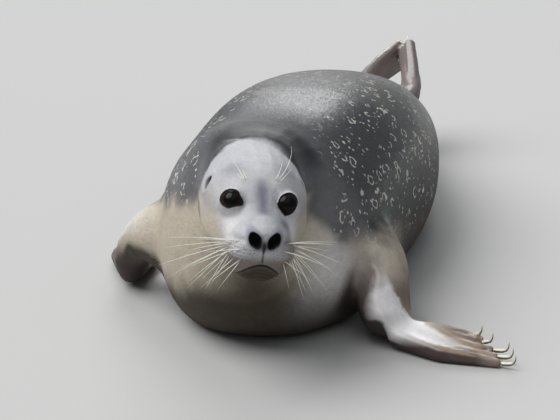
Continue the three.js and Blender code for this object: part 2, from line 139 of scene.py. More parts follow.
EYE_MIDDLE = (middle_of("eye_left") + middle_of("eye_right")) / 2
HEAD_AT = EYE_MIDDLE - HEAD_TURN @ Vector((0, EYE_Y, EYE_Z)) * MM
BODY_AT = HEAD_AT - HEAD_IN_BODY * MM
TURN = np.array(HEAD_TURN)


def to_head(points):
    """World metres to millimetres in the head's frame."""
    return (points - np.array(HEAD_AT)) @ TURN / MM


def from_head(points):
    """Millimetres in the head's frame to world metres."""
    return np.asarray(points) @ TURN.T * MM + np.array(HEAD_AT)


def to_body(points):
    """World metres to millimetres in the body's frame."""
    return (points - np.array(BODY_AT)) / MM


def from_body(points):
    """Millimetres in the body's frame to world metres."""
    return np.asarray(points) * MM + np.array(BODY_AT)


# ---- small sums ----------------------------------------------------------------------------------
def ramp(value, start, end):
    """0 before start and 1 past end, smooth between; start may be above end."""
    t = np.clip((value - start) / (end - start), 0, 1)
    return t * t * (3 - 2 * t)


def bell(value, width):
    """1 at 0, fading to nothing a few widths away."""
    return np.exp(-((value / width) ** 2))


def unit(vectors):
    """Each row at length 1."""
    return vectors / np.maximum(np.linalg.norm(vectors, axis=-1, keepdims=True), 1e-9)


def mix(a, b, share):
    """a where share is 0 and b where it is 1, for rows."""
    return a + (b - a) * share[:, None]


def off_line(points, line):
    """How far points are from a line of points, how far along it, 0 to 1, and its direction there."""
    line = np.asarray(line, float)
    best = np.full(len(points), 1e9)
    along = np.zeros(len(points))
    way = np.zeros((len(points), 3))
    spans = np.linalg.norm(np.diff(line, axis=0), axis=1)
    total, before = spans.sum(), 0.0
    for start, end, span in zip(line[:-1], line[1:], spans):
        t = np.clip((points - start) @ (end - start) / span**2, 0, 1)
        gap = np.linalg.norm(points - start - t[:, None] * (end - start), axis=1)
        near = gap < best
        best[near] = gap[near]
        along[near] = (before + t[near] * span) / total
        way[near] = (end - start) / span
        before += span
    return best, along, way


# ---- meshes as arrays ----------------------------------------------------------------------------
def coordinates(mesh):
    """A mesh's vertices as rows of metres."""
    rows = np.empty(len(mesh.vertices) * 3)
    mesh.vertices.foreach_get("co", rows)
    return rows.reshape(-1, 3)


def normals(mesh):
    """A mesh's vertex normals as rows."""
    rows = np.empty(len(mesh.vertices) * 3)
    mesh.vertex_normals.foreach_get("vector", rows)
    return rows.reshape(-1, 3)


def place(mesh, points):
    """Moves a mesh's vertices to the given rows."""
    mesh.vertices.foreach_set("co", np.asarray(points, np.float32).ravel())
    mesh.update()


def write_values(mesh, name, values):
    """Keeps a number or a vector for each vertex under a name that the material reads."""
    vector = values.ndim == 2
    attribute = mesh.attributes.new(name, "FLOAT_VECTOR" if vector else "FLOAT", "POINT")
    attribute.data.foreach_set("vector" if vector else "value", values.astype(np.float32).ravel())


def read_values(mesh, name):
    """What write_values kept."""
    attribute = mesh.attributes[name]
    vector = attribute.data_type == "FLOAT_VECTOR"
    rows = np.empty(len(attribute.data) * (3 if vector else 1), np.float32)
    attribute.data.foreach_get("vector" if vector else "value", rows)
    return rows.reshape(-1, 3) if vector else rows


def add_object(name, mesh):
    """A new object in the scene, at the origin."""
    thing = bpy.data.objects.new(name, mesh)
    bpy.context.scene.collection.objects.link(thing)
    return thing


def activate(thing):
    """Makes one object the active and only selected one."""
    bpy.ops.object.select_all(action="DESELECT")
    thing.select_set(True)
    bpy.context.view_layer.objects.active = thing


# A modifier's weights are held in a vertex group at this many steps.
HELD_STEPS = 20


def apply_modifier(thing, kind, group=None, weights=None, **settings):
    """Adds a modifier, sets it and applies it at once, held to a vertex group where weights come."""
    if group:
        thing.vertex_groups.clear()
        held = thing.vertex_groups.new(name=group)
        steps = np.round(weights * HELD_STEPS).astype(int)
        for step in range(1, HELD_STEPS + 1):
            held.add(np.flatnonzero(steps == step).tolist(), step / HELD_STEPS, "REPLACE")
    modifier = thing.modifiers.new(kind.title(), kind)
    for setting, value in settings.items():
        setattr(modifier, setting, value)
    if group:
        modifier.vertex_group = group
    activate(thing)
    bpy.ops.object.modifier_apply(modifier=modifier.name)
    thing.vertex_groups.clear()


def finish_piece(thing, material, slot, replaced=()):
    """Smooth faces, one material, its body and the solids that it stands for; slot is not used."""
    mesh = thing.data
    mesh.materials.clear()
    mesh.materials.append(material)
    mesh.polygons.foreach_set("use_smooth", np.ones(len(mesh.polygons), bool))
    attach(thing, "root")
    if replaced:
        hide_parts(*replaced)


def mesh_from_rows(name, points, faces):
    """A mesh from rows of points and rows of corner numbers, all faces with as many corners."""
    mesh = bpy.data.meshes.new(name)
    count, corners = faces.shape
    mesh.vertices.add(len(points))
    mesh.loops.add(count * corners)
    mesh.polygons.add(count)
    mesh.vertices.foreach_set("co", np.asarray(points, np.float32).ravel())
    mesh.loops.foreach_set("vertex_index", faces.astype(np.int32).ravel())
    mesh.polygons.foreach_set("loop_start", np.arange(count, dtype=np.int32) * corners)
    mesh.update(calc_edges=True)
    mesh.validate()
    return mesh


# ---- sizes and colours ---------------------------------------------------------------------------
def length(name, description, default):
    """A length in metres that a user may change."""
    return bpy.props.FloatProperty(
        name=name, description=description, default=default, unit="LENGTH", precision=5
    )


def colour(name, description, default):
    """A linear colour that a user may change."""
    return bpy.props.FloatVectorProperty(
        name=name, description=description, default=default, subtype="COLOR", min=0, max=1
    )


class SealSizes(bpy.types.PropertyGroup):
    """Sizes of the skin, coat and whiskers."""

    voxel: length("Voxel", "Grain at which the solids are joined", 0.0020)
    swell: length("Swell", "How far the solids grow to close the gaps between them", 0.0004)
    coat_depth: length("Coat depth", "How far the skin lies inside the solids", 0.0014)
    face_depth: length("Face depth", "How far the face lies inside the solids", 0.0005)
    tuft_length: length("Tuft length", "Length of a tuft on the back", 0.0064)
    tuft_width: length("Tuft width", "Width of a tuft on the back", 0.0009)
    whisker_length: length("Whisker length", "Length of the longest whiskers", 0.088)
    whisker_radius: length("Whisker radius", "Radius of a whisker at its root", 0.00060)


class SealColours(bpy.types.PropertyGroup):
    """Colours of the coat, skin, eyes and claws."""

    back: colour("Back", "The dark mantle", (0.009, 0.010, 0.013))
    hood: colour("Hood", "The grey hood round the face", (0.120, 0.120, 0.128))
    # The rump colour: the paler rump, with painted light from above on its upward-facing top.
    rump: colour("Rump", "The paler rump", (0.100, 0.098, 0.088))
    flank: colour("Flank", "The low flank", (0.052, 0.043, 0.035))
    chest: colour("Chest", "Neck and chest", (0.500, 0.440, 0.350))
    # The belly colour: the underside's darker fur, with painted shade where the trunk faces down.
    belly: colour("Belly", "The underside", (0.052, 0.040, 0.028))
    silver: colour("Silver", "Brow and upper arms", (0.470, 0.470, 0.485))
    # Pale fur below the eyes and on the left arm's band; also painted light on the left shoulder and
    # the right arm's top.
    pale: colour("Pale", "Fur below the eyes", (0.820, 0.800, 0.800))
    rose: colour("Rose", "Cheeks and the ears' rims", (0.340, 0.270, 0.240))
    slate: colour("Slate", "The stripe down the nose and shaded folds", (0.110, 0.112, 0.165))
    # The chin's dark fur, darkened as painted shade, and painted shade on the throat under the head.
    olive_and_shade: colour("Olive", "The chin and throat", (0.042, 0.032, 0.016))
    # The upper lip's brown fur, with painted shade under the whisker pads.
    lip: colour("Lip", "The upper lip", (0.150, 0.120, 0.085))
    arm: colour("Arm", "The arms' shaded fur", (0.165, 0.130, 0.115))
    hind: colour("Hind", "Hind flippers", (0.230, 0.195, 0.190))
    tan: colour("Tan", "Bare webs and digits", (0.250, 0.185, 0.125))
    # Umber: the flippers' dark leading edges and stripes, and painted shade under the fore arms.
    umber: colour("Umber", "Leading edges of the flippers", (0.060, 0.042, 0.040))
    ring: colour("Ring", "The pale rings on the flanks", (0.640, 0.610, 0.550))
    ink: colour("Ink", "Lids, nostrils and lips", (0.010, 0.008, 0.008))
    whisker: colour("Whisker", "Whiskers", (0.930, 0.910, 0.830))
    claw: colour("Claw", "The claws' upper side", (0.740, 0.690, 0.560))
    whisker_root: colour("Whisker root", "Whiskers where they leave the skin", (0.300, 0.240, 0.180))
    claw_below: colour("Claw below", "The claws' underside", (0.035, 0.026, 0.022))
    iris: colour("Iris", "The eyes", (0.020, 0.012, 0.009))
    pupil: colour("Pupil", "The middle of the eyes", (0.004, 0.003, 0.003))
    socket: colour("Socket", "The eyeballs' edge inside the lids", (0.006, 0.005, 0.005))
    floor: colour("Floor", "The floor", (0.470, 0.470, 0.460))
    sky: colour("Sky", "The light from all round", (0.860, 0.900, 0.960))


# ---- shaders -------------------------------------------------------------------------------------
class Term:
    """A shader socket in a Python sum: each operation adds its Math node."""

    def __init__(self, shader, socket):
        self.shader = shader
        self.socket = socket

    def _math(self, operation, first, second=0.0):
        return self.shader.node(
            "ShaderNodeMath", {"operation": operation}, {0: first, 1: second}
        )

    def __add__(self, other):
        return self._math("ADD", self, other)

    def __radd__(self, other):
        return self._math("ADD", other, self)

    def __sub__(self, other):
        return self._math("SUBTRACT", self, other)

    def __rsub__(self, other):
        return self._math("SUBTRACT", other, self)

    def __mul__(self, other):
        return self._math("MULTIPLY", self, other)

    def __rmul__(self, other):
        return self._math("MULTIPLY", other, self)

    def size(self):
        """The value without its sign."""
        return self._math("ABSOLUTE", self)

    def between(self, low, high):
        """0 at low and 1 at high, smooth between."""
        return self.shader.node(
            "ShaderNodeMapRange",
            {"interpolation_type": "SMOOTHSTEP"},
            {"Value": self, "From Min": low, "From Max": high},
        )


class Shader:
    """A material being made."""

    def __init__(self, name):
        self.material = bpy.data.materials.new(name)
        self.material.use_nodes = True
        self.tree = self.material.node_tree
        self.surface = self.tree.nodes["Principled BSDF"]

    def node(self, kind, settings=None, sockets=None, out=0):
        """A node of that type, with its settings, then the values or links of its sockets."""
        made = self.tree.nodes.new(kind)
        for setting, value in (settings or {}).items():
            setattr(made, setting, value)
        for socket, value in (sockets or {}).items():
            self.feed(made.inputs[socket], value)
        return Term(self, made.outputs[out])

    def feed(self, socket, value):
        """Links a term to a socket, or sets its number or colour."""
        if isinstance(value, Term):
            self.tree.links.new(value.socket, socket)
        elif isinstance(value, tuple):
            socket.default_value = value[: len(socket.default_value)]
        else:
            socket.default_value = value

    def set(self, **sockets):
        """Sets or links the surface's own sockets; a _ stands for a space."""
        for name, value in sockets.items():
            self.feed(self.surface.inputs[name.replace("_", " ").title()], value)

    def kept(self, name, out="Fac"):
        """What the mesh keeps under a name: Fac for a number, Vector for a vector."""
        return self.node("ShaderNodeAttribute", {"attribute_name": name}, out=out)

    def object_places(self):
        """Places on the object, in metres."""
        return self.node("ShaderNodeTexCoord", None, None, out=3)

    def noise(self, place, scale, detail=2.0, roughness=0.5):
        """Soft noise, about 0 to 1."""
        sockets = {"Vector": place, "Scale": scale, "Detail": detail, "Roughness": roughness}
        return self.node("ShaderNodeTexNoise", None, sockets)

    def blend(self, share, first, second):
        """A colour between two others."""
        mixed = self.tree.nodes.new("ShaderNodeMix")
        mixed.data_type = "RGBA"
        self.feed(mixed.inputs[0], share)
        self.feed(mixed.inputs[6], first)
        self.feed(mixed.inputs[7], second)
        return Term(self, mixed.outputs[2])

    def shade(self, colour, strength):
        """A colour made darker or lighter by a value."""
        return self.node(
            "ShaderNodeVectorMath", {"operation": "SCALE"}, {0: colour, "Scale": strength}
        )

    def bump(self, height, distance, strength=1.0):
        """The normal of a surface with that relief, in metres."""
        return self.node(
            "ShaderNodeBump", None,
            {"Height": height, "Distance": distance, "Strength": strength},
        )


def rgba(value):
    """A colour with full alpha."""
    return (*value, 1.0)


# The pale rings: cells to a metre, how they are squeezed, a ring's radius in cells, how far that
# changes, and the soft and full half widths of its line. Flecks fill smaller cells.
RINGS = {"cells": 46.0, "random": 0.9, "squeeze": (1.02, 0.78, 0.84), "radius": 0.20,
         "uneven": 0.15, "soft": 0.058, "full": 0.028}
FLECKS = {"cells": 115.0, "random": 1.0, "soft": 0.30, "full": 0.20}
# Noise to a metre that bends the places, changes a ring's radius, breaks it and thins the flecks.
BEND = {"scale": 70.0, "reach": 0.012}
RING_NOISE = {"radius": 60.0, "breaks": 95.0, "thinning": 42.0}


def bent_places(shader, spot):
    """Places pushed a little aside, so that no ring is quite round."""
    push = shader.node(
        "ShaderNodeTexNoise", None, {"Vector": spot, "Scale": BEND["scale"], "Detail": 1.0}, out=1
    )
    return shader.node(
        "ShaderNodeVectorMath", {"operation": "ADD"}, {0: spot, 1: shader.shade(push, BEND["reach"])}
    )


def cell_distance(shader, place_on, pattern):
    """How far a place is from the middle of its cell."""
    return shader.node(
        "ShaderNodeTexVoronoi", {"feature": "F1"},
        {"Vector": place_on, "Scale": pattern["cells"], "Randomness": pattern["random"]},
    )


def ring_marks(shader, spot):
    """Broken rings, hooks and flecks, 1 on a mark and 0 off it."""
    bent = bent_places(shader, spot)
    squeezed = shader.node("ShaderNodeMapping", None, {"Vector": bent, "Scale": RINGS["squeeze"]})
    radius = RINGS["radius"] + RINGS["uneven"] * shader.noise(spot, RING_NOISE["radius"], 1.0)
    off_line = (cell_distance(shader, squeezed, RINGS) - radius).size()
    ring = off_line.between(RINGS["soft"], RINGS["full"])
    unbroken = shader.noise(spot, RING_NOISE["breaks"], 2.0).between(0.44, 0.52)
    fleck = cell_distance(shader, bent, FLECKS).between(FLECKS["soft"], FLECKS["full"])
    sparse = shader.noise(spot, RING_NOISE["thinning"], 1.0).between(0.48, 0.62)
    return (ring * unbroken + fleck * sparse).between(0.1, 0.9)


# The coat's finish: noise along the lie of the hair and across it, to a metre, and its relief.
FUR = {"streaks": 260.0, "hairs": 900.0, "clouds": 26.0, "mottling": 140.0,
       "relief": 0.0005, "relief_share": 0.4, "coat_roughness": 0.24, "specular": 0.28}


def fur_material(colours):
    """The coat's one finish, for the skin and for every tuft on it."""
    shader = Shader("seal_fur")
    spot, grain = shader.kept("spot", "Vector"), shader.kept("grain", "Vector")
    ink, wet = shader.kept("ink"), shader.kept("wet")
    streaks = shader.noise(grain, FUR["streaks"], 3.0, 0.6)
    hairs = shader.noise(grain, FUR["hairs"], 2.0, 0.6)
    clouds = (shader.noise(spot, FUR["clouds"], 3.0, 0.55) * 0.6
              + shader.noise(spot, FUR["mottling"], 2.0, 0.6) * 0.4)
    strength = (0.84 + 0.32 * streaks) * (0.76 + 0.48 * clouds) * shader.kept("tone")
    fur = shader.shade(shader.kept("tint", "Vector"), strength)
    marks = ring_marks(shader, spot) * shader.kept("rings")
    marked = shader.blend(marks, fur, rgba(colours.ring))
    shader.set(
        base_color=shader.blend(ink, marked, rgba(colours.ink)),
        roughness=0.60 - 0.26 * wet + 0.10 * hairs + 0.30 * ink,
        normal=shader.bump(streaks * 0.6 + hairs * 0.4, FUR["relief"], FUR["relief_share"]),
        coat_weight=(0.06 + 0.74 * wet) * (1 - ink),
    )
    shader.surface.inputs["Coat Roughness"].default_value = FUR["coat_roughness"]
    shader.surface.inputs["Specular IOR Level"].default_value = FUR["specular"]
    return shader.material


# The wet surface of an eye.
CORNEA = {"ior": 1.30, "specular": 0.3, "roughness": 0.09}


def eye_material(colours):
    """A dark brown iris and wide pupil under a wet cornea."""
    shader = Shader("seal_eye")
    off_axis = shader.kept("off_axis")
    fibres = shader.noise(shader.object_places(), 300.0, 2.0)
    iris = shader.blend(off_axis.between(0.45, 0.9), rgba(colours.pupil), rgba(colours.iris))
    rim = shader.blend(off_axis.between(1.05, 1.25), iris, rgba(colours.socket))
    shader.set(base_color=shader.shade(rim, 0.7 + 0.6 * fibres), roughness=CORNEA["roughness"])
    shader.surface.inputs["IOR"].default_value = CORNEA["ior"]
    shader.surface.inputs["Specular IOR Level"].default_value = CORNEA["specular"]
    return shader.material


def whisker_material(colours):
    """Cream horn, a little darker at the root."""
    shader = Shader("seal_whisker")
    root = shader.kept("root")
    shader.set(
        base_color=shader.blend(root, rgba(colours.whisker), rgba(colours.whisker_root)),
        roughness=0.38 + 0.1 * root,
    )
    return shader.material


def follicle_material(colours):
    """Dark damp skin at a whisker's root."""
    shader = Shader("seal_follicle")
    uneven = shader.noise(shader.object_places(), 500.0, 1.0)
    shader.set(base_color=shader.shade(rgba(colours.umber), 0.4 + 0.5 * uneven), roughness=0.45)
    return shader.material


def claw_material(colours):
    """Cream horn above, dark below, with lengthwise grain."""
    shader = Shader("seal_claw")
    grain = shader.noise(shader.object_places(), 420.0, 2.0)
    base = shader.blend(shader.kept("below"), rgba(colours.claw), rgba(colours.claw_below))
    shader.set(
        base_color=shader.shade(base, 0.75 + 0.5 * grain),
        roughness=0.30 + 0.15 * grain,
        normal=shader.bump(grain, 0.0002, 0.5),
    )
    return shader.material


# ---- the skin's shape ----------------------------------------------------------------------------
def swelled(node, swell):
    """A merged copy of a solid, grown a little."""
    part = bmesh.new()
    part.from_mesh(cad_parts[node].data)
    bmesh.ops.remove_doubles(part, verts=part.verts, dist=1e-6)
    part.normal_update()
    for corner in part.verts:
        corner.co += corner.normal * swell
    return part


# The balls that fill openings: faces round and from pole to pole.
BALL = {"round": 24, "rows": 14}


def add_ball(flesh, centre, radii):
    """A closed ball in the head's frame, to fill an opening before it is sculpted."""
    shape = HEAD_TURN.to_4x4() @ Matrix.Diagonal(Vector(radii) * MM).to_4x4()
    shape.translation = Vector(from_head(centre))
    bmesh.ops.create_uvsphere(
        flesh, u_segments=BALL["round"], v_segments=BALL["rows"], radius=1, matrix=shape
    )


def merged_solids(nodes, swell):
    """Merged copies of solids in one bmesh, each grown a little."""
    work = bmesh.new()
    for node in nodes:
        mesh = bpy.data.meshes.new(node)
        part = swelled(node, swell)
        part.to_mesh(mesh)
        part.free()
        work.from_mesh(mesh)
        bpy.data.meshes.remove(mesh)
    return work


def mesh_of(name, work):
    """A mesh from a bmesh, which is freed."""
    mesh = bpy.data.meshes.new(name)
    work.to_mesh(mesh)
    work.free()
    return mesh


def joined_flesh(swell):
    """Every flesh solid in one mesh, with the eyeballs and nostrils filled in."""
    flesh = merged_solids(TRUNK_NODES + LIMB_NODES, swell)
    for side in SIDES.values():
        add_ball(flesh, (EYE_X * side, EYE_Y, EYE_Z), [EYE_RADIUS] * 3)
        add_ball(flesh, (NOSTRIL["x"] * side, *NOSTRIL_FILL["place"]), NOSTRIL_FILL["radii"])
    return mesh_of("skin", flesh)


def turn_round(head):
    """How far round the head's axis a point is, from the crown: radians, alike on both sides."""
    return np.arctan2(np.abs(head[:, 0]), head[:, 2] + AXIS_DROP)


def crease_at(head):
    """How far behind the hood's crease a point is: below 0 on the face."""
    return head[:, 1] - (CREASE["y"] + CREASE["rise"] * np.cos(turn_round(head)))


def face_edge(head):
    """How far behind the edge of the silver face a point is: below 0 on the face."""
    turn = np.degrees(turn_round(head))
    return head[:, 1] - np.interp(turn, FACE_EDGE["turn"], FACE_EDGE["y"])


def limb_shares(body):
    """For each limb: how much of it a point is, how far along it, and which way it runs there."""
    shares = {}
    for name, (line, half) in LIMBS.items():
        gap, along, way = off_line(body, line)
        share = ramp(gap, half * 1.55, half * 0.95) * ramp(along, 0.08, 0.34)
        shares[name] = (share, along, way)
    return shares


def limb_share(body):
    """How much of any limb a point is."""
    return np.max([share for share, _, _ in limb_shares(body).values()], axis=0)


def blade_share(body):
    """How much of a thin flipper blade a point is."""
    blades = [share * ramp(along, 0.42, 0.58) for share, along, _ in limb_shares(body).values()]
    return np.max(blades, axis=0)


def wrist_share(body):
    """How near a point is to a fore limb's wrist."""
    near = np.zeros(len(body))
    for name, (share, along, _) in limb_shares(body).items():
        if name.startswith("fore"):
            near = np.maximum(near, share * bell(along - WRIST_ALONG, 0.15))
    return near


# Rounds of smoothing for each region, and the share of the faces kept where the form is plain.
ROUNDS = {"trunk": 260, "limbs": 60, "wrists": 200, "all": 5, "sockets": 260, "claws": 6}
PLAIN_KEPT = 0.23


def smooth(thing, region, weights=None):
    """Smooths a region, or the whole where no weights come."""
    group = region if weights is not None else None
    apply_modifier(thing, "SMOOTH", group, weights, iterations=ROUNDS[region], factor=0.5)


def smooth_trunk(thing):
    """Takes the facets out: most on the trunk, less on limbs, least on the face and blades."""
    points = coordinates(thing.data)
    head, body = to_head(points), to_body(points)
    trunk = ramp(crease_at(head), 4, 60) * (1 - limb_share(body)) * ramp(body[:, 1], 760, 680)
    smooth(thing, "trunk", trunk)
    smooth(thing, "limbs", (1 - blade_share(body)) * ramp(crease_at(head), -30, 30))
    smooth(thing, "wrists", wrist_share(to_body(coordinates(thing.data))))
    smooth(thing, "all")


def thin_out(thing):
    """Fewer faces where the form is plain: the head keeps all of its own."""
    points = coordinates(thing.data)
    plain = ramp(crease_at(to_head(points)), -10, 25) * (1 - 0.8 * blade_share(to_body(points)))
    apply_modifier(thing, "DECIMATE", "plain", plain, ratio=PLAIN_KEPT, vertex_group_factor=1.0)


# How far round an eye and an ear the faces are split, and the muzzle's back, sides and lower edge.
FINE = {"eye": 31, "ear": 15, "back": 34, "side": 44, "low": -60}


def gap_to(head, place_at, sides=BOTH):
    """How far points are from a place on the head, or from the nearer one of a pair."""
    x, y, z = place_at
    return np.min([np.linalg.norm(head - (x * side, y, z), axis=1) for side in sides], axis=0)


def refine_face(mesh):
    """Splits the faces of the features that are sculpted finely."""
    work = bmesh.new()
    work.from_mesh(mesh)
    work.verts.ensure_lookup_table()
    head = to_head(coordinates(mesh))
    fine = (head[:, 1] < FINE["back"]) & (np.abs(head[:, 0]) < FINE["side"])
    fine &= head[:, 2] > FINE["low"]
    fine |= gap_to(head, (EYE_X, EYE_Y, EYE_Z)) < FINE["eye"]
    fine |= gap_to(head, (EAR["x"], EAR["y"], EAR["z"])) < FINE["ear"]
    edges = [e for e in work.edges if fine[e.verts[0].index] and fine[e.verts[1].index]]
    bmesh.ops.subdivide_edges(work, edges=edges, cuts=1, use_grid_fill=True, smooth=0.4)
    work.to_mesh(mesh)
    work.free()
    mesh.update()


# ---- the face ------------------------------------------------------------------------------------
def eye_axes(side_name):
    """The way an eye looks, and the axes outward and upward across it, in the head's frame."""
    opening = EYE_OPENINGS[side_name]
    side = SIDES[side_name]
    out, up = math.radians(opening["out"]), math.radians(opening["up"])
    look = np.array([side * math.sin(out) * math.cos(up), -math.cos(out) * math.cos(up),
                     math.sin(up)])
    across = unit(np.cross(look, [0, 0, 1]) * -side)
    if across[0] * side < 0:
        across = -across
    upward = np.cross(across, look) * side
    if upward[2] < 0:
        upward = -upward
    turn = math.radians(opening["turn"])
    return (look, across * math.cos(turn) + upward * math.sin(turn),
            upward * math.cos(turn) - across * math.sin(turn))


def eye_place(head, side_name):
    """Where points are round an eye: 1 on the edge of its opening, and the share above it."""
    opening = EYE_OPENINGS[side_name]
    centre = np.array([EYE_X * SIDES[side_name], EYE_Y, EYE_Z])
    look, across, upward = eye_axes(side_name)
    arm = head - centre
    far = np.linalg.norm(arm, axis=1)
    ray = arm / np.maximum(far, 1e-6)[:, None]
    angle = np.degrees(np.arccos(np.clip(ray @ look, -1, 1)))
    sideways, rise = ray @ across, ray @ upward
    scale = angle / np.maximum(np.hypot(sideways, rise), 1e-6)
    wide, high = sideways * scale / opening["wide"], rise * scale / opening["high"]
    pinch = 1 + opening["pinch"] * ramp(-wide, 0.1, 1.0)
    return np.hypot(wide, high * pinch), high, far, centre, ray


# The lids, in millimetres: how deep the open skin is tucked, the lid's thickness and the least skin
# outside the eyeball, first beside the lids and then in the socket.
TUCK, LID, COVER, SOCKET = 3.2, 1.3, 1.5, 1.3


def sculpt_lids(head, _facing):
    """Lids that hug each eyeball, a fold above, and skin tucked behind the open part."""
    for side_name in SIDES:
        edge, high, far, centre, ray = eye_place(head, side_name)
        upper = ramp(high, -0.1, 0.5)
        lid = EYE_RADIUS - TUCK + (TUCK + LID) * ramp(edge, 0.97, 1.06)
        lid += 0.9 * bell(edge - 1.18, 0.10) - (0.3 + 1.3 * upper) * bell(edge - 1.42, 0.09)
        lid += 1.3 * upper * bell(edge - 1.62, 0.13)
        share = ramp(edge, 2.05, 1.22) * ramp(far, EYE_RADIUS + 11, EYE_RADIUS + 5)
        cover = EYE_RADIUS + COVER + 3.0 * ramp(edge, 1.3, 2.2) * (1 - upper)
        radius = far + (lid - far) * share
        radius = np.maximum(radius, cover * ramp(edge, 0.99, 1.07))
        head = centre + ray * radius[:, None]
    return head


def smooth_sockets(thing):
    """Melts each lid into the cheek and brow round it."""
    head = to_head(coordinates(thing.data))
    share = np.zeros(len(head))
    for side_name in SIDES:
        edge, _, far, _, _ = eye_place(head, side_name)
        ring = ramp(edge, 1.25, 1.60) * ramp(edge, 3.6, 2.6) * ramp(far, 50, 36)
        share = np.maximum(share, ring)
    smooth(thing, "sockets", share)


def cover_eyes(head, _facing):
    """Keeps the skin round each opening outside the eyeball."""
    for side_name in SIDES:
        edge, _, far, centre, ray = eye_place(head, side_name)
        least = (EYE_RADIUS + SOCKET) * ramp(edge, 1.0, 1.1)
        head = centre + ray * np.maximum(far, least)[:, None]
    return head


def nostril_place(head, side):
    """Where points are round one side's nostril: 1 on its rim."""
    lean = math.radians(NOSTRIL["lean"]) * side
    x, z = head[:, 0] - NOSTRIL["x"] * side, head[:, 2] - NOSTRIL["z"]
    long = x * math.sin(lean) + z * math.cos(lean)
    wide = x * math.cos(lean) - z * math.sin(lean)
    narrow = 1 + 0.25 * ramp(-long, 0, NOSTRIL["long"])
    return np.hypot(long / NOSTRIL["long"], wide * narrow / NOSTRIL["wide"])


def nostril_gap(head):
    """Where points are round the nearer nostril: 1 on its rim."""
    return np.min([nostril_place(head, side) for side in SIDES.values()], axis=0)


# Folds beside a nostril: where they are, as its rim is at 1, their width and depth.
NOSE_FOLDS = {"at": (1.85, 2.25, 2.65), "width": 0.12, "deep": 0.35}


def sculpt_nose(head, facing):
    """Two teardrop nostrils in a V, their rims, and shallow folds beside them."""
    front = ramp(head[:, 1], 30, 18) * ramp(facing[:, 1], 0.55, 0.1)
    for side in SIDES.values():
        rim = nostril_place(head, side)
        raised = 0.8 * bell(rim - 1.22, 0.16) * front
        outer = ramp(head[:, 0] * side, NOSTRIL["x"] - 2, NOSTRIL["x"] + 5)
        for fold in NOSE_FOLDS["at"]:
            groove = bell(rim - fold, NOSE_FOLDS["width"])
            raised -= NOSE_FOLDS["deep"] * groove * front * outer
        head = head + facing * raised[:, None]
        depth = ramp(rim, 1.04, 0.80) * front
        head[:, 1] += (NOSTRIL["floor"] - head[:, 1]) * depth
    cleft = bell(head[:, 0], 1.2) * ramp(head[:, 2], -31, -27) * ramp(head[:, 2], -1, -8)
    return head - facing * (1.5 * cleft * front)[:, None]


def mouth_gap(head):
    """How far above the lips' meeting line a point is."""
    return head[:, 2] - (MOUTH["z"] - MOUTH["droop"] * head[:, 0] ** 2)


# Folds across the chin: how far below the mouth, their width and depth.
CHIN_FOLDS = {"below": (11, 17, 23), "width": 1.8, "deep": 0.9}


def sculpt_mouth(head, facing):
    """The closed mouth as a drooping groove with full lips, and folds across the chin."""
    gap = mouth_gap(head)
    out = np.abs(head[:, 0])
    lips = 0.9 * bell(gap - 4.5, 3.0) + 0.5 * bell(gap + 5, 3.5)
    lips -= MOUTH["depth"] * bell(gap, MOUTH["width"])
    lips *= ramp(out, MOUTH["half"] + 3, MOUTH["half"] - 3)
    lips *= ramp(head[:, 1], 42, 30) * ramp(facing[:, 1], 0.7, 0.3)
    folds = np.sum([bell(gap + below, CHIN_FOLDS["width"]) for below in CHIN_FOLDS["below"]], axis=0)
    folds *= CHIN_FOLDS["deep"] * ramp(out, 34, 18) * ramp(head[:, 1], 60, 44)
    return head + facing * (lips - folds)[:, None]


# Rows across the whisker pads, and the low swelling over each eye.
PAD_ROWS = {"deep": 0.48, "apart": 4.4}
BROW = {"place": (20, 80, 50), "reach": 9.0, "rise": 1.2}


def sculpt_pads(head, facing):
    """Full whisker pads with shallow rows and a fold behind them, and low brows."""
    for side in SIDES.values():
        x, z = head[:, 0] - PAD["x"] * side, head[:, 2] - PAD["z"]
        off = np.hypot(x / PAD["wide"], z / PAD["high"])
        swell = bell(off, 1.0) * ramp(head[:, 1], 40, 20)
        rows = PAD_ROWS["deep"] * np.sin(z * 2 * math.pi / PAD_ROWS["apart"]) * swell
        outer = ramp(head[:, 0] * side, PAD["x"] - 6, PAD["x"] + 6) * ramp(head[:, 1], 60, 44)
        fold = PAD["fold"] * bell(off - 1.45, 0.30) * outer
        head = head + facing * (PAD["rise"] * swell + rows - fold)[:, None]
        x, y, z = BROW["place"]
        brow = bell(gap_to(head, (x * side, y, z), ONE), BROW["reach"])
        head = head + facing * (BROW["rise"] * brow)[:, None]
    return head


def ear_place(head, side):
    """Where points are round an ear's slit: 1 on its edge."""
    x, y, z = (head - (EAR["x"] * side, EAR["y"], EAR["z"])).T
    lean = math.radians(EAR["lean"])
    long = z * math.cos(lean) + y * math.sin(lean)
    wide = y * math.cos(lean) - z * math.sin(lean)
    inner = 0.1 * np.maximum(-x * side - 14, 0)
    return np.hypot(long / EAR["long"], wide / EAR["wide"]) + inner


def sculpt_ears(head, facing):
    """Each ear is a slit with a soft rim."""
    for side in SIDES.values():
        edge = ear_place(head, side)
        near = ramp(np.abs(head[:, 0]), 40, 48)
        lift = 1.3 * bell(edge - 1.6, 0.5) - EAR["deep"] * ramp(edge, 1.15, 0.6)
        head = head + facing * (lift * near)[:, None]
    return head


def sculpt(mesh, step):
    """Runs one step of the head's sculpting on the mesh."""
    facing = normals(mesh) @ TURN
    place(mesh, from_head(step(to_head(coordinates(mesh)), facing)))


# How the skin stands on the floor, in metres: its lowest points' height, and between which heights
# it is moved to get there.
STAND = {"gap": 0.0003, "above": 0.014, "full": 0.004}


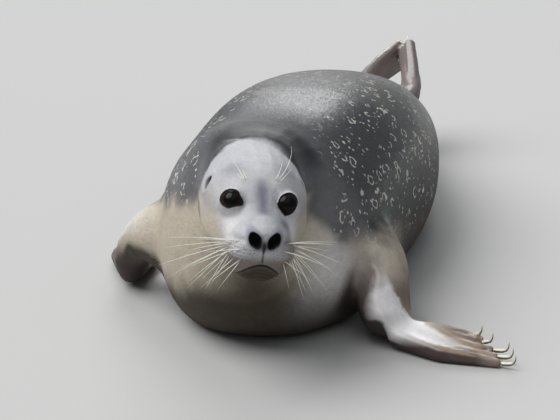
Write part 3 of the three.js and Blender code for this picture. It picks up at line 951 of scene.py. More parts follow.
def inset(mesh, sizes):
    """Pulls the skin in by the coat's depth, and sets it down on the floor."""
    points = coordinates(mesh)
    head, body = to_head(points), to_body(points)
    face = np.maximum(ramp(crease_at(head), 30, -10), blade_share(body))
    depth = sizes.coat_depth + (sizes.face_depth - sizes.coat_depth) * face
    points = points - normals(mesh) * depth[:, None]
    lowest = points[:, 2].min() - STAND["gap"]
    points[:, 2] -= lowest * ramp(points[:, 2], STAND["above"], STAND["full"])
    place(mesh, points)


UNWRAP = {"angle": 66, "margin": 0.002}


def unwrap(thing):
    """The map that the baked finish uses, an unwrap of the skin's own shape."""
    activate(thing)
    thing.data.uv_layers.new(name=BAKE_MAP)
    bpy.ops.object.mode_set(mode="EDIT")
    bpy.ops.mesh.select_all(action="SELECT")
    limit = math.radians(UNWRAP["angle"])
    bpy.ops.uv.smart_project(angle_limit=limit, island_margin=UNWRAP["margin"])
    bpy.ops.object.mode_set(mode="OBJECT")


# ---- the markings --------------------------------------------------------------------------------
def lie_of_coat(points, facing):
    """Which way the hair lies: back from the nose, along the trunk and down the limbs."""
    head, body = to_head(points), to_body(points)
    trunk = np.tile([0.0, 1.0, -0.18], (len(points), 1))
    from_nose = unit(head - (0, -22, -2)) @ TURN.T
    way = mix(from_nose, trunk, ramp(crease_at(head), -40, 70))
    for share, _, along in limb_shares(body).values():
        way = mix(way, along, share)
    way -= facing * np.sum(way * facing, axis=1)[:, None]
    return unit(way)


# How far the places that draw streaks are squeezed along the hair, and where the face's lie.
STREAK, FACE_STREAK, FACE_GRAIN = 0.16, 0.35, (67, -48, 198)


def grain_of(points):
    """Places squeezed along the lie of the coat, so that noise on them draws streaks."""
    head, body = to_head(points), to_body(points)
    grain = body * (1.0, STREAK, 1.0)
    face = head * (1.0, FACE_STREAK, 1.0) + FACE_GRAIN
    grain = mix(face, grain, ramp(crease_at(head), -30, 40))
    for name, (share, _, _) in limb_shares(body).items():
        line = np.asarray(LIMBS[name][0], float)
        axis = unit(line[-1] - line[2])
        arm = body - line[2]
        squeezed = arm - np.outer(arm @ axis, axis) * (1 - STREAK)
        squeezed += line[2] * (1.0, STREAK, 1.0)
        grain = mix(grain, squeezed, share)
    return grain * MM


# Mottling in layers: the size of a wave in millimetres, its seed and its strength.
WANDER = ((90, 3, 12), (34, 5, 6))
RAGGED = ((17, 9, 0.07), (7, 10, 0.04))
WAVES = 6


def mottle(points, scale, seed):
    """Slow waves, -1 to 1, for edges that wander."""
    dice = np.random.default_rng(seed)
    total = np.zeros(len(points))
    for _ in range(WAVES):
        way = unit(dice.normal(size=3))
        turn = points @ way * (2 * math.pi / scale) * dice.uniform(0.7, 1.6)
        total += np.sin(turn + dice.uniform(0, 6.3))
    return total / WAVES * 1.8


def mottled(points, layers):
    """The sum of some layers of mottling."""
    return sum(mottle(points, scale, seed) * strength for scale, seed, strength in layers)


class Markings:
    """The coat's colour at each vertex, laid on in layers."""

    def __init__(self, mesh, colours):
        self.colours = colours
        self.points = coordinates(mesh)
        self.facing = normals(mesh)
        self.head, self.body = to_head(self.points), to_body(self.points)
        self.limbs = limb_shares(self.body)
        self.wander = mottled(self.body, WANDER)
        self.ragged = mottled(self.body, RAGGED)
        self.tint = np.tile(colours.chest, (len(self.points), 1)).astype(float)

    def paint(self, share, name):
        """Lays a colour over the others."""
        colour = np.array(getattr(self.colours, name))
        self.tint = mix(self.tint, colour, np.clip(share, 0, 1))


def mantle_share(marks):
    """How much of the dark mantle a point is: its lower edge falls from the neck to the tail."""
    x, y, z = marks.body.T
    edge = np.interp(y, MANTLE["y"], MANTLE["z"]) + 26 * ramp(x, -20, -90) * ramp(y, 40, -60)
    above = z - edge + marks.wander
    clear = np.maximum(ramp(crease_at(marks.head), -45, -20), ramp(marks.head[:, 2], 2, 24))
    return ramp(above, -18, 18) * clear, above


# Painted light on the left shoulder: a pale patch, in the body's frame.
SHOULDER_LIGHT = {"place": (116, -126, 102), "reach": 56.0}


def paint_trunk(marks, mantle):
    """Beige neck and chest, dark mantle, a dark underside with painted shade, a paler rump with
    painted light on top, painted light on the left shoulder.
    """
    y, z = marks.body[:, 1], marks.body[:, 2]
    marks.paint(ramp(y, 0, 140), "flank")
    marks.paint(mantle, "back")
    marks.paint(0.95 * mantle * ramp(y + marks.wander, -10, -100), "hood")
    # Painted light: the rump's paler colour is laid most where its top faces up.
    top = 0.30 + 0.70 * ramp(marks.facing[:, 2], 0.05, 0.6)
    behind = y - 0.35 * (250 - z) + 2.5 * marks.wander
    marks.paint(mantle * ramp(behind, 80, 330) * top, "rump")
    marks.paint(ramp(y, 560, 680) * (1 - mantle), "rump")
    # Painted shade: the belly's dark colour where the trunk faces down.
    under = ramp(marks.facing[:, 2] + 0.004 * marks.wander, -0.06, -0.38)
    marks.paint(under * ramp(z, 200, 120), "belly")
    # Painted light: a pale patch on the left shoulder.
    gap = np.linalg.norm(marks.body - SHOULDER_LIGHT["place"], axis=1)
    marks.paint(0.85 * bell(gap, SHOULDER_LIGHT["reach"]) * (1 - mantle), "pale")


def face_share(marks):
    """How much of the silver face a point is: crisp at the crown and soft at the cheeks."""
    hx, _, hz = marks.head.T
    low = ramp(hz, 26, -14)
    crown = ramp(face_edge(marks.head) + 0.3 * marks.wander, 5, -7)
    cheek = ramp(np.hypot(hx, 0.8 * np.minimum(hz + 4, 0)), 58, 34)
    return crown * (1 - low + low * cheek)


# The hood's dark rim: colour, strength, how far behind the face's edge, width and the heights
# between which it sets in.
HOOD_RIM = (
    ("hood", 1.00, 20, 30.0, 14, 40),
    ("back", 0.97, 42, 38.0, 24, 50),
    ("back", 1.00, 6, 4.5, 30, 50),
)
# Patches over the silver: colour, strength, place in the head's frame, reach and sides.
FACE_PATCHES = (
    ("rose", 0.75, (66, 90, 8), 20.0, BOTH),
    ("pale", 0.95, (36, 48, -2), 17.0, BOTH),
    ("slate", 0.45, (34, 104, 54), 16.0, BOTH),
    ("slate", 0.22, (44, 62, 36), 12.0, BOTH),
    ("slate", 0.22, (-34, 150, 56), 34.0, ONE),
    ("rose", 0.45, (60, 70, -8), 22.0, ONE),
    # Painted shade on the left side of the nose's bridge.
    ("slate", 0.75, (28, 33, 11), 9.0, ONE),
    ("slate", 0.35, (13, 30, 12), 7.0, BOTH),
)
# The septum's half width by height, and the painted shade on the throat under the head.
SEPTUM = {"z": (-16, -11, -6, -1, 4), "half": (1.2, 2.6, 5.6, 5.0, 3.0)}
THROAT_SHADE = {"place": (8, 86, -106), "squeeze": (0.85, 1, 1), "reach": 54.0}


def paint_face(marks, face):
    """The hood's rim, then silver with its patches, and a grey stripe down the nose."""
    hx, hy, hz = marks.head.T
    for name, strength, behind, width, low, high in HOOD_RIM:
        rim = bell(face_edge(marks.head) - behind, width) * ramp(hz, low, high)
        marks.paint(strength * rim, name)
    marks.paint(face, "silver")
    for name, strength, place_at, reach, sides in FACE_PATCHES:
        patch = bell(gap_to(marks.head, place_at, sides), reach)
        marks.paint(strength * face * patch, name)
    stripe = bell(hx, 8.6) * ramp(hy, 26, 38) * ramp(hy, 88, 62)
    marks.paint(0.80 * face * stripe, "slate")


def paint_muzzle(marks):
    """A left whisker pad in painted shade, grey nostril rims, lips with painted shade under the pads,
    a black septum, a chin darkened as painted shade, and painted shade on the throat.
    """
    hx, hy, hz = marks.head.T
    out = np.abs(hx)
    # The seal's left whisker pad: partly painted shade, partly its darker rows of follicles.
    marks.paint(0.90 * bell(gap_to(marks.head, (31, 16, -14), ONE), 17.0), "arm")
    marks.paint(0.60 * ramp(nostril_gap(marks.head), 1.75, 1.25) * ramp(hy, 30, 20), "slate")
    # The upper lip's brown fur, partly painted shade under the whisker pads.
    marks.paint(0.85 * ramp(hz, -15, -31) * ramp(hy, 66, 40) * ramp(out, 56, 38), "lip")
    septum = bell(hx, np.interp(hz, SEPTUM["z"], SEPTUM["half"])) * ramp(hy, 20, 10)
    marks.paint(0.95 * septum * ramp(hz, -18, -13) * ramp(hz, 5, -3), "ink")
    # The chin's dark fur, darkened as painted shade.
    marks.paint(ramp(mouth_gap(marks.head), 2, -6) * ramp(hy, 90, 40) * ramp(out, 52, 22), "olive_and_shade")
    # Painted shade on the throat under the head.
    below = (marks.head - THROAT_SHADE["place"]) * THROAT_SHADE["squeeze"]
    marks.paint(0.95 * bell(np.linalg.norm(below, axis=1), THROAT_SHADE["reach"]), "olive_and_shade")


def paint_fore_limb(marks, name):
    """Soft grey-brown arms, a tan web, dark leading edges, and painted shade on their undersides."""
    share, along, _ = marks.limbs[name]
    wrist, axis, trailing = (np.array(row, float) for row in HANDS[name])
    onto = (marks.body - wrist) @ axis / HAND_LONG
    across = (marks.body - wrist) @ trailing / HAND_HALF
    ragged, facing = marks.ragged, marks.facing
    start = ramp(along, 0.26, 0.40)
    # The arms' shaded fur, left off where the shoulder faces ahead and up.
    ahead = ramp(facing @ np.array([0.0, -0.8, 0.6]), -0.1, 0.5)
    marks.paint(share * start * (1 - 0.85 * ahead * ramp(along, 0.55, 0.30)), "arm")
    marks.paint(share * ramp(onto + 0.6 * ragged, -0.06, 0.10), "tan")
    stripes = ramp(np.sin(across * 9.0 + onto * 3) + 4 * ragged, -0.2, 0.8)
    marks.paint(share * ramp(onto, 0.1, 0.4) * 0.60 * stripes, "umber")
    # Painted shade: dark umber where the arm faces down.
    below = ramp(facing[:, 2] + 0.25 * ragged, 0.22, -0.16) * ramp(along, 0.30, 0.46)
    marks.paint(share * start * below, "umber")
    leading = ramp(ragged - facing @ unit(trailing), 0.20, 0.62) * ramp(onto, -0.55, -0.1)
    marks.paint(share * 0.85 * leading, "umber")
    marks.paint(share * 0.5 * ramp(onto, 0.82, 0.97), "rose")


def paint_band(marks):
    """The silver band over the left arm, with a ragged edge behind, and a pale top on the right arm,
    partly painted light.
    """
    gap, along, _ = off_line(marks.body, BAND)
    half = np.interp(along, np.linspace(0, 1, len(BAND_HALF)), BAND_HALF)
    soft = ramp(marks.facing @ np.array([-0.5, -0.85, 0.0]), -0.05, 0.45)
    near = gap / half + 1.6 * marks.ragged * (1 - soft)
    band = np.clip((1.26 + 0.50 * soft - near) / (0.30 + 0.75 * soft), 0, 1)
    band *= ramp(marks.facing[:, 2], -0.3, -0.05) * ramp(along, 1.0, 0.55)
    marks.paint(band * ramp(along + 0.15 * (1 - soft), -0.06, 0.08), "pale")
    # The right arm's pale top: its silver-beige fur, with painted light where it faces up.
    top = marks.limbs["fore_right"][0] * ramp(marks.facing[:, 2] + marks.ragged, 0.1, 0.5)
    marks.paint(0.7 * top * ramp(marks.limbs["fore_right"][1], 0.62, 0.45), "pale")


def paint_hind_limb(marks, name):
    """Dark grey-brown hind flippers with paler, redder webs."""
    share, along, _ = marks.limbs[name]
    marks.paint(share * ramp(along, 0.15, 0.45), "hind")
    webs = 0.5 + 0.5 * marks.ragged / 0.1
    marks.paint(share * ramp(along, 0.55, 0.9) * 0.2 * webs, "tan")
    inner = ramp(marks.facing[:, 0] * (1 if name == "hind_right" else -1), 0.1, 0.7)
    marks.paint(share * inner * ramp(along, 0.35, 0.6) * 0.2, "rose")


def ink_of(marks):
    """Where the skin is black: lids, nostrils, ears and the line of the mouth."""
    head, ink = marks.head, np.zeros(len(marks.head))
    hx, hy, hz = head.T
    out = np.abs(hx)
    for side_name, side in SIDES.items():
        rim, high, far, _, _ = eye_place(head, side_name)
        lid = 1.14 + 0.12 * ramp(high, 0.0, 0.8)
        hugging = ramp(far, EYE_RADIUS + 4.5, EYE_RADIUS + 2.5)
        ink = np.maximum(ink, ramp(rim, lid + 0.09, lid) * hugging)
        ink = np.maximum(ink, ramp(ear_place(head, side), 1.25, 0.9) * ramp(out, 40, 48))
    ink = np.maximum(ink, ramp(nostril_gap(head), 1.22, 1.08) * ramp(hy, 32, 24))
    lips = bell(mouth_gap(head), 1.7) * ramp(out, MOUTH["half"] + 4, MOUTH["half"] - 6)
    ink = np.maximum(ink, 0.9 * lips * ramp(hy, 44, 34))
    cleft = bell(hx, 1.1) * ramp(hz, -31, -28) * ramp(hz, -3, -8) * ramp(hy, 20, 10)
    return np.clip(np.maximum(ink, 0.8 * cleft), 0, 1)


def wetness(marks, mantle, face):
    """How wet the coat shines: on top, most on the mantle, least on the face and the hood's rim."""
    wet = 0.20 + 0.80 * np.maximum(mantle, 0.5 * limb_share(marks.body))
    wet *= ramp(marks.facing[:, 2], -0.2, 0.75) * (1 - 0.9 * face)
    wet *= 1 - 0.85 * bell(face_edge(marks.head) - 34, 34.0) * ramp(marks.head[:, 2], 0, 40)
    return np.clip(wet, 0, 1)


def ring_share(marks, mantle, above_edge):
    """Where pale rings may show: over the mantle, and faintly below its edge."""
    y, z = marks.body[:, 1], marks.body[:, 2]
    rings = mantle * ramp(crease_at(marks.head), 6, 30) * ramp(z, 268, 238)
    rings *= (1 - 0.8 * limb_share(marks.body)) * (0.35 + 0.65 * ramp(y, 420, 240))
    low = ramp(above_edge, -40, -10) * ramp(y, -120, -40) * (1 - mantle) * ramp(z, 60, 90)
    return np.clip(np.maximum(rings, 0.5 * low), 0, 1)


def markings(mesh, colours):
    """The coat's colour, rings, ink and wetness at each vertex, kept on the mesh."""
    marks = Markings(mesh, colours)
    mantle, above_edge = mantle_share(marks)
    face = face_share(marks)
    paint_trunk(marks, mantle)
    paint_face(marks, face)
    paint_muzzle(marks)
    for name in LIMBS:
        paint_limb = paint_hind_limb if name.startswith("hind") else paint_fore_limb
        paint_limb(marks, name)
    paint_band(marks)
    write_values(mesh, "spot", marks.body * MM)
    write_values(mesh, "grain", grain_of(marks.points))
    write_values(mesh, "tint", marks.tint)
    write_values(mesh, "rings", ring_share(marks, mantle, above_edge))
    write_values(mesh, "ink", ink_of(marks))
    write_values(mesh, "wet", wetness(marks, mantle, face))
    write_values(mesh, "tone", np.ones(len(marks.points)))


# The values that tufts take from the skin under them.
KEPT = ("grain", "tint", "rings", "ink", "wet")


def build_skin(sizes, colours):
    """One closed skin over all the flesh, sculpted, marked and unwrapped."""
    skin = add_object("skin", joined_flesh(sizes.swell))
    apply_modifier(skin, "REMESH", mode="VOXEL", voxel_size=sizes.voxel, adaptivity=0.0)
    smooth_trunk(skin)
    thin_out(skin)
    refine_face(skin.data)
    for step in (sculpt_pads, sculpt_lids):
        sculpt(skin.data, step)
    smooth_sockets(skin)
    for step in (cover_eyes, sculpt_nose, sculpt_mouth, sculpt_ears):
        sculpt(skin.data, step)
    inset(skin.data, sizes)
    markings(skin.data, colours)
    unwrap(skin)
    finish_piece(skin, fur_material(colours), "back_fur", TRUNK_NODES + LIMB_NODES + EAR_NODES)


# ---- the eyes ------------------------------------------------------------------------------------
# An eyeball: faces round and from pole to pole, and its cornea's bulge and spread in radians.
EYEBALL = {"round": 64, "rows": 40, "bulge": 0.035, "spread": 0.62}


def build_eye(side_name, material):
    """An eyeball with a bulging cornea, turned the way it looks."""
    look = Vector(TURN @ eye_axes(side_name)[0])
    shape = look.to_track_quat("Z", "Y").to_matrix().to_4x4()
    shape.translation = Vector(from_head((EYE_X * SIDES[side_name], EYE_Y, EYE_Z)))
    work = bmesh.new()
    bmesh.ops.create_uvsphere(
        work, u_segments=EYEBALL["round"], v_segments=EYEBALL["rows"], radius=EYE_RADIUS * MM
    )
    off_axis = []
    for corner in work.verts:
        angle = corner.co.angle(Vector((0, 0, 1)))
        corner.co *= 1 + EYEBALL["bulge"] * math.exp(-((angle / EYEBALL["spread"]) ** 2))
        off_axis.append(angle)
    bmesh.ops.transform(work, matrix=shape, verts=work.verts)
    mesh = mesh_of(f"eyeball_{side_name}", work)
    write_values(mesh, "off_axis", np.array(off_axis))
    finish_piece(add_object(mesh.name, mesh), material, "eye", [f"eye_{side_name}"])


# ---- the coat ------------------------------------------------------------------------------------
# Each tuft: its faces, its patch on the skin's map, its points' tones, and the ranges that it is
# drawn from. A tuft's length and width are shares of the coat's, its turn and tilt are in radians.
TUFT_UV = 0.003
TUFT_FACES = np.array([(0, 1, 2), (0, 2, 3), (0, 3, 1), (4, 2, 1), (4, 3, 2), (4, 1, 3)])
TUFT_PATCH = np.array([(-0.5, 0), (0, 0.5), (0, 0), (0, -0.5), (0.5, 0)]) * TUFT_UV
TUFT_TONES = np.array([0.93, 1.0, 1.02, 1.0, 1.04])
TUFT = {"count": 32000, "turn": 0.16, "long": (0.7, 1.25), "wide": (0.7, 1.2), "lift": (0.16, 0.50),
        "shade": (0.94, 1.07), "tilt": 0.06}


class Surface:
    """The skin as triangles, from which roots are drawn."""

    def __init__(self, skin):
        mesh = skin.data
        mesh.calc_loop_triangles()
        count = len(mesh.loop_triangles)
        self.corners = np.empty(count * 3, np.int32)
        loops = np.empty(count * 3, np.int32)
        mesh.loop_triangles.foreach_get("vertices", self.corners)
        mesh.loop_triangles.foreach_get("loops", loops)
        self.corners = self.corners.reshape(-1, 3)
        flat = np.empty(len(mesh.loops) * 2, np.float32)
        mesh.uv_layers[BAKE_MAP].uv.foreach_get("vector", flat)
        self.uv = flat.reshape(-1, 2)[loops.reshape(-1, 3)]
        self.points = coordinates(mesh)
        self.facing = normals(mesh)
        self.kept = {name: read_values(mesh, name) for name in KEPT}
        first, second, third = (self.points[self.corners[:, i]] for i in range(3))
        self.area = np.linalg.norm(np.cross(second - first, third - first), axis=1) / 2
        self.middle = (first + second + third) / 3
        self.lie = lie_of_coat(self.points, self.facing)

    def draw(self, count, density, dice):
        """Roots drawn with a density for each triangle: their triangles and shares of its corners."""
        chance = np.cumsum(self.area * density)
        picked = np.searchsorted(chance, dice.random(count) * chance[-1])
        u, v = dice.random((2, count))
        over = u + v > 1
        u[over], v[over] = 1 - u[over], 1 - v[over]
        return picked, np.stack([1 - u - v, u, v], axis=1)


# A tuft's shape: how far along its widest place is and how high that lies, how deep its root is
# sunk, both as shares of its lift, and its thickness as a share of its width.
TUFT_FORM = {"widest": 0.42, "rise": 0.30, "sunk": 0.25, "thick": 0.28}


def tuft_points(roots, facing, lie, long, wide, lift):
    """Five points for each tuft: root, two sides and a ridge halfway, and the tip."""
    side = np.cross(facing, lie)
    long, wide, lift = long[:, None], wide[:, None], lift[:, None]
    halfway = roots + lie * long * TUFT_FORM["widest"] + facing * lift * TUFT_FORM["rise"]
    return np.stack([
        roots - facing * lift * TUFT_FORM["sunk"],
        halfway - side * wide / 2,
        halfway + facing * wide * TUFT_FORM["thick"],
        halfway + side * wide / 2,
        roots + lie * long + facing * lift,
    ], axis=1)


class Tufts:
    """The slim closed tufts of one coat piece, rooted at places drawn on the skin."""

    def __init__(self, surface, density, seed):
        self.surface = surface
        self.dice = np.random.default_rng(seed)
        self.picked, self.shares = surface.draw(TUFT["count"], density, self.dice)
        self.facing = unit(self.at(surface.facing))

    def at(self, values):
        """Values of the skin's vertices, taken at the roots."""
        rows = values[self.surface.corners[self.picked]]
        return np.einsum("nc...,nc->n...", rows, self.shares)

    def vary(self, name):
        """A value for each tuft, drawn from a named range."""
        return self.dice.uniform(*TUFT[name], TUFT["count"])

    def points(self, size, sizes):
        """The tufts' points: each lies along the coat, a little its own way."""
        lie = self.at(self.surface.lie)
        lie += np.cross(self.facing, lie) * self.dice.normal(0, TUFT["turn"], (TUFT["count"], 1))
        lie = unit(lie - self.facing * np.sum(lie * self.facing, axis=1)[:, None])
        scale = self.at(size)
        long = sizes.tuft_length * scale * self.vary("long")
        wide = sizes.tuft_width * scale**0.75 * self.vary("wide")
        lift = sizes.coat_depth * scale * self.vary("lift")
        roots = self.at(self.surface.points)
        return tuft_points(roots, self.facing, lie, long, wide, lift).reshape(-1, 3)

    def write(self, mesh, faces):
        """Keeps the skin's markings, the tone and the map on the tufts."""
        for name, values in self.surface.kept.items():
            write_values(mesh, name, np.repeat(self.at(values), 5, axis=0))
        write_values(mesh, "spot", to_body(coordinates(mesh)) * MM)
        write_values(mesh, "tone", (self.vary("shade")[:, None] * TUFT_TONES).ravel())
        spots = np.einsum("nck,nc->nk", self.surface.uv[self.picked], self.shares)
        spots = (spots[:, None] + TUFT_PATCH[None]).reshape(-1, 2)[faces.ravel()]
        layer = mesh.uv_layers.new(name=BAKE_MAP)
        layer.uv.foreach_set("vector", spots.astype(np.float32).ravel())

    def tilted(self):
        """The normals of the tufts' points: the skin's, each tuft's tilted a little."""
        tilt = self.dice.normal(0, TUFT["tilt"], (TUFT["count"], 3))
        return np.repeat(unit(self.facing + tilt), 5, axis=0)


def tuft_size(surface):
    """How large the tufts are at each vertex: smaller on the face, the flippers and the crease."""
    head, body = to_head(surface.points), to_body(surface.points)
    face = ramp(face_edge(head), 40, -20)
    size = (1 - 0.62 * face) * (1 - 0.60 * blade_share(body)) * (1 - 0.35 * limb_share(body))
    size = size * (1 - 0.45 * ramp(head[:, 1], 60, 5) * face)
    return size * (1 - 0.45 * bell(crease_at(head) + 8, 22.0))


# The trunk's pieces of coat, from and to along the body, and a density above nothing.
COAT_PARTS = {"neck": (-400, 60), "chest": (60, 250), "belly": (250, 470), "rump": (470, 1000)}
THINNEST = 1e-12


def coat_pieces(surface):
    """Each coat piece: its name, its slot and the density of its tufts on each triangle."""
    head, body = to_head(surface.middle), to_body(surface.middle)
    bare = np.max(surface.kept["ink"][surface.corners], axis=1) > 0.04
    bare |= (nostril_gap(head) < 1.55) & (head[:, 1] < 32)
    low = body[:, 2] < 9
    limb = limb_share(body) > 0.5
    face = (face_edge(head) < 20) & ~limb & (head[:, 2] > -75)
    thick = 1 - 0.75 * blade_share(body)
    muzzle = 1 + 2.0 * ramp(head[:, 1], 90, 20)
    yield "fur_face", "face_fur", ((face & ~bare) * thick + THINNEST) * muzzle
    yield "fur_limbs", "flipper_fur", (limb & ~low) * thick + THINNEST
    for part, (start, end) in COAT_PARTS.items():
        band = (body[:, 1] >= start) & (body[:, 1] < end) & ~limb & ~face & ~low
        yield f"fur_{part}", "back_fur", band * thick + THINNEST


def build_coat(sizes, material):
    """Every coat piece: face, limbs, neck, chest, belly and rump."""
    surface = Surface(bpy.data.objects["skin"])
    size = tuft_size(surface)
    faces = TUFT_FACES[None] + np.arange(TUFT["count"])[:, None, None] * 5
    faces = faces.reshape(-1, 3)
    for seed, (name, slot, density) in enumerate(coat_pieces(surface), SEEDS["coat"]):
        tufts = Tufts(surface, density, seed)
        mesh = mesh_from_rows(name, tufts.points(size, sizes), faces)
        tufts.write(mesh, faces)
        finish_piece(add_object(name, mesh), material, slot)
        mesh.normals_split_custom_set_from_vertices(tufts.tilted())


# ---- the whiskers --------------------------------------------------------------------------------
# Whiskers: rows and columns of roots on a pad, and the sides and steps of one hair.
WHISKERS = {"rows": 6, "columns": 5, "sides": 5, "steps": 12}
# Rows on a whisker pad, in the head's frame: the first place, and what a column and a row add.
WHISKER_GRID = ((15, 2, -9.5), (6.3, 6, 0.5), (1.2, 0, -4.3))
STUD_GRID = ((10, 1, -7.5), (4.6, 3.2, 0.4), (0.8, 0, -3.7))
# Directions that no hair and no pad lies along, to turn their rings by.
HAIR_ASIDE, STUD_ASIDE = (0.13, 0.21, 0.97), (0.1, 0.2, 1.0)
# Brow hairs arch up and back over the forehead: root and tip in the head's frame, and their bend.
BROW_HAIRS = (
    ((20, 78, 50), (44, 140, 76)),
    ((23, 79, 49), (41, 99, 62)),
    ((18, 80, 51), (30, 112, 69)),
)
BROW_BEND = (-0.0040, 0.0042, -0.0030)
BROW_REACH = {1: 1.0, -1: 0.5}


def hair_points(root, way, bend, long, radius):
    """A tapered, curved hair as rings of points, closed at both ends."""
    along = np.linspace(0, 1, WHISKERS["steps"])
    line = root + np.outer(along * long, way) + np.outer((along * long) ** 2, bend)
    tangent = unit(np.gradient(line, axis=0))
    first = unit(np.cross(tangent, HAIR_ASIDE))
    second = np.cross(tangent, first)
    turn = np.arange(WHISKERS["sides"]) * 2 * math.pi / WHISKERS["sides"]
    thick = radius * (1 - 0.92 * along**1.3)
    ring = first[:, None] * np.cos(turn)[:, None] + second[:, None] * np.sin(turn)[:, None]
    return (line[:, None] + ring * thick[:, None, None]).reshape(-1, 3)


def hair_faces():
    """The triangles of one hair, with its ends closed."""
    sides, steps = WHISKERS["sides"], WHISKERS["steps"]
    faces = []
    for step in range(steps - 1):
        for side in range(sides):
            a, b = step * sides + side, step * sides + (side + 1) % sides
            faces += [(a, b, b + sides), (a, b + sides, a + sides)]
    last = (steps - 1) * sides
    for side in range(1, sides - 1):
        faces += [(0, side + 1, side), (last, last + side, last + side + 1)]
    return np.array(faces)


def mesh_from_shapes(name, shapes, faces):
    """One mesh of shapes that share their faces' order, given in the head's frame."""
    rows = np.concatenate([faces + len(shapes[0]) * i for i in range(len(shapes))])
    return mesh_from_rows(name, from_head(np.concatenate(shapes)), rows)


def skin_tree():
    """A finder of places on the skin."""
    skin = bpy.data.objects["skin"]
    return BVHTree.FromPolygons(
        [v.co for v in skin.data.vertices], [p.vertices for p in skin.data.polygons]
    )


def on_skin(tree, head_place):
    """The place on the skin nearest to one in the head's frame, back in that frame."""
    found, _, _, _ = tree.find_nearest(Vector(from_head(head_place)))
    return to_head(np.array(found))


def on_pad(tree, side, grid, column, row, shift=0.0):
    """The place on one side's whisker pad in a column and row of a grid."""
    first, by_column, by_row = np.array(grid)
    at = first + by_column * column + by_row * row + (shift, 0, 0)
    return on_skin(tree, at * (side, 1, 1))


def whisker_roots(tree, side):
    """Rows of roots on a whisker pad, sparser in front: row, column and place."""
    for row in range(WHISKERS["rows"]):
        for column in range(1, WHISKERS["columns"]):
            if column < 3 and (row + column) % 2:
                continue
            yield row, column, on_pad(tree, side, WHISKER_GRID, column, row)


def pad_whiskers(tree, side, sizes, dice):
    """One pad's fan of whiskers, drooping more from row to row."""
    for row, column, root in whisker_roots(tree, side):
        share = (column + 1) / WHISKERS["columns"]
        droop = math.radians(-2 + 14.0 * row + dice.normal(0, 4))
        back = 0.18 + dice.normal(0, 0.08)
        way = unit(np.array([side * math.cos(droop), back, -math.sin(droop)]))
        bend = np.array([side * 0.2, 0.7, -1.0]) * dice.uniform(0.0012, 0.0028)
        long = sizes.whisker_length / MM * (0.45 + 0.55 * share) * dice.uniform(0.72, 1.0)
        long *= 1 - 0.06 * abs(row - 2)
        radius = sizes.whisker_radius / MM * dice.uniform(0.8, 1.1)
        yield hair_points(root - way * 2, way, bend, long, radius)


def brow_hairs(tree, side, sizes):
    """The long hairs over one eye."""
    mirror = np.array([side, 1, 1])
    for start, end in BROW_HAIRS:
        root = on_skin(tree, start * mirror)
        reach = (end * mirror - root) * BROW_REACH[side]
        span = np.linalg.norm(reach)
        bend = BROW_BEND * mirror
        way = reach / span - bend * span
        yield hair_points(root - way * 1.5, way, bend, span, sizes.whisker_radius / MM * 0.85)


def build_whiskers(sizes, material):
    """Two fans of pale whiskers and a few brow hairs."""
    tree, dice = skin_tree(), np.random.default_rng(SEEDS["whiskers"])
    shapes = []
    for side in SIDES.values():
        shapes += pad_whiskers(tree, side, sizes, dice)
        shapes += brow_hairs(tree, side, sizes)
    mesh = mesh_from_shapes("whiskers", shapes, hair_faces())
    along = np.linspace(0, 1, WHISKERS["steps"])
    root = np.repeat(ramp(along, 0.16, 0.02), WHISKERS["sides"])
    write_values(mesh, "root", np.tile(root, len(shapes)))
    finish_piece(add_object("whiskers", mesh), material, "face_fur")


# Follicles: rows and columns on a pad, how far every other row is moved out, and a stud's sides,
# radius, height and depth.
STUDS = {"rows": 7, "columns": 8, "shift": 1.1, "sides": 6, "radius": 0.75, "up": 0.3, "down": 0.5}


def stud_places(tree, side):
    """Rows of places on one pad."""
    for row in range(STUDS["rows"]):
        for column in range(STUDS["columns"]):
            yield on_pad(tree, side, STUD_GRID, column, row, STUDS["shift"] * (row % 2))


def stud_points(tree, place_at):
    """A low stud on the skin: its top, a ring and its root."""
    _, facing, _, _ = tree.find_nearest(Vector(from_head(place_at)))
    up = np.array(facing) @ TURN
    first = unit(np.cross(up, STUD_ASIDE))
    second = np.cross(up, first)
    turn = np.arange(STUDS["sides"]) * 2 * math.pi / STUDS["sides"]
    ring = np.outer(np.cos(turn), first) + np.outer(np.sin(turn), second)
    return np.vstack([place_at + up * STUDS["up"], place_at + ring * STUDS["radius"],
                      place_at - up * STUDS["down"]])


def stud_faces():
    """The triangles of one stud, closed above and below."""
    sides = STUDS["sides"]
    faces = [(0, 1 + i, 1 + (i + 1) % sides) for i in range(sides)]
    faces += [(sides + 1, 1 + (i + 1) % sides, 1 + i) for i in range(sides)]
    return np.array(faces)


def build_follicles(material):
    """The dark dots in rows on the pads, from which hairs grow."""
    tree = skin_tree()
    shapes = []
    for side in SIDES.values():
        shapes += [stud_points(tree, place_at) for place_at in stud_places(tree, side)]
    mesh = mesh_from_shapes("follicles", shapes, stud_faces())
    finish_piece(add_object("follicles", mesh), material, "nose_skin")


# ---- the claws -----------------------------------------------------------------------------------
# Claws, in metres: the voxels of their rounding, how much each grows first, and how deep their
# roots sink, fully within one gap from the skin and not beyond another.
CLAW_VOXELS = {"fore": 0.0005, "hind": 0.00035}
CLAW_SWELL = 0.0001
CLAW_ROOT = {"deep": 0.0025, "from": 0.0035, "full": 0.0008}


def sink_roots(claws, tree):
    """Sets the claws' roots a little into the skin."""
    points = coordinates(claws.data)
    for index, point in enumerate(points):
        _, facing, _, gap = tree.find_nearest(Vector(point))
        sink = float(ramp(np.array(gap), CLAW_ROOT["from"], CLAW_ROOT["full"])) * CLAW_ROOT["deep"]
        points[index] = point - np.array(facing) * sink
    place(claws.data, points)


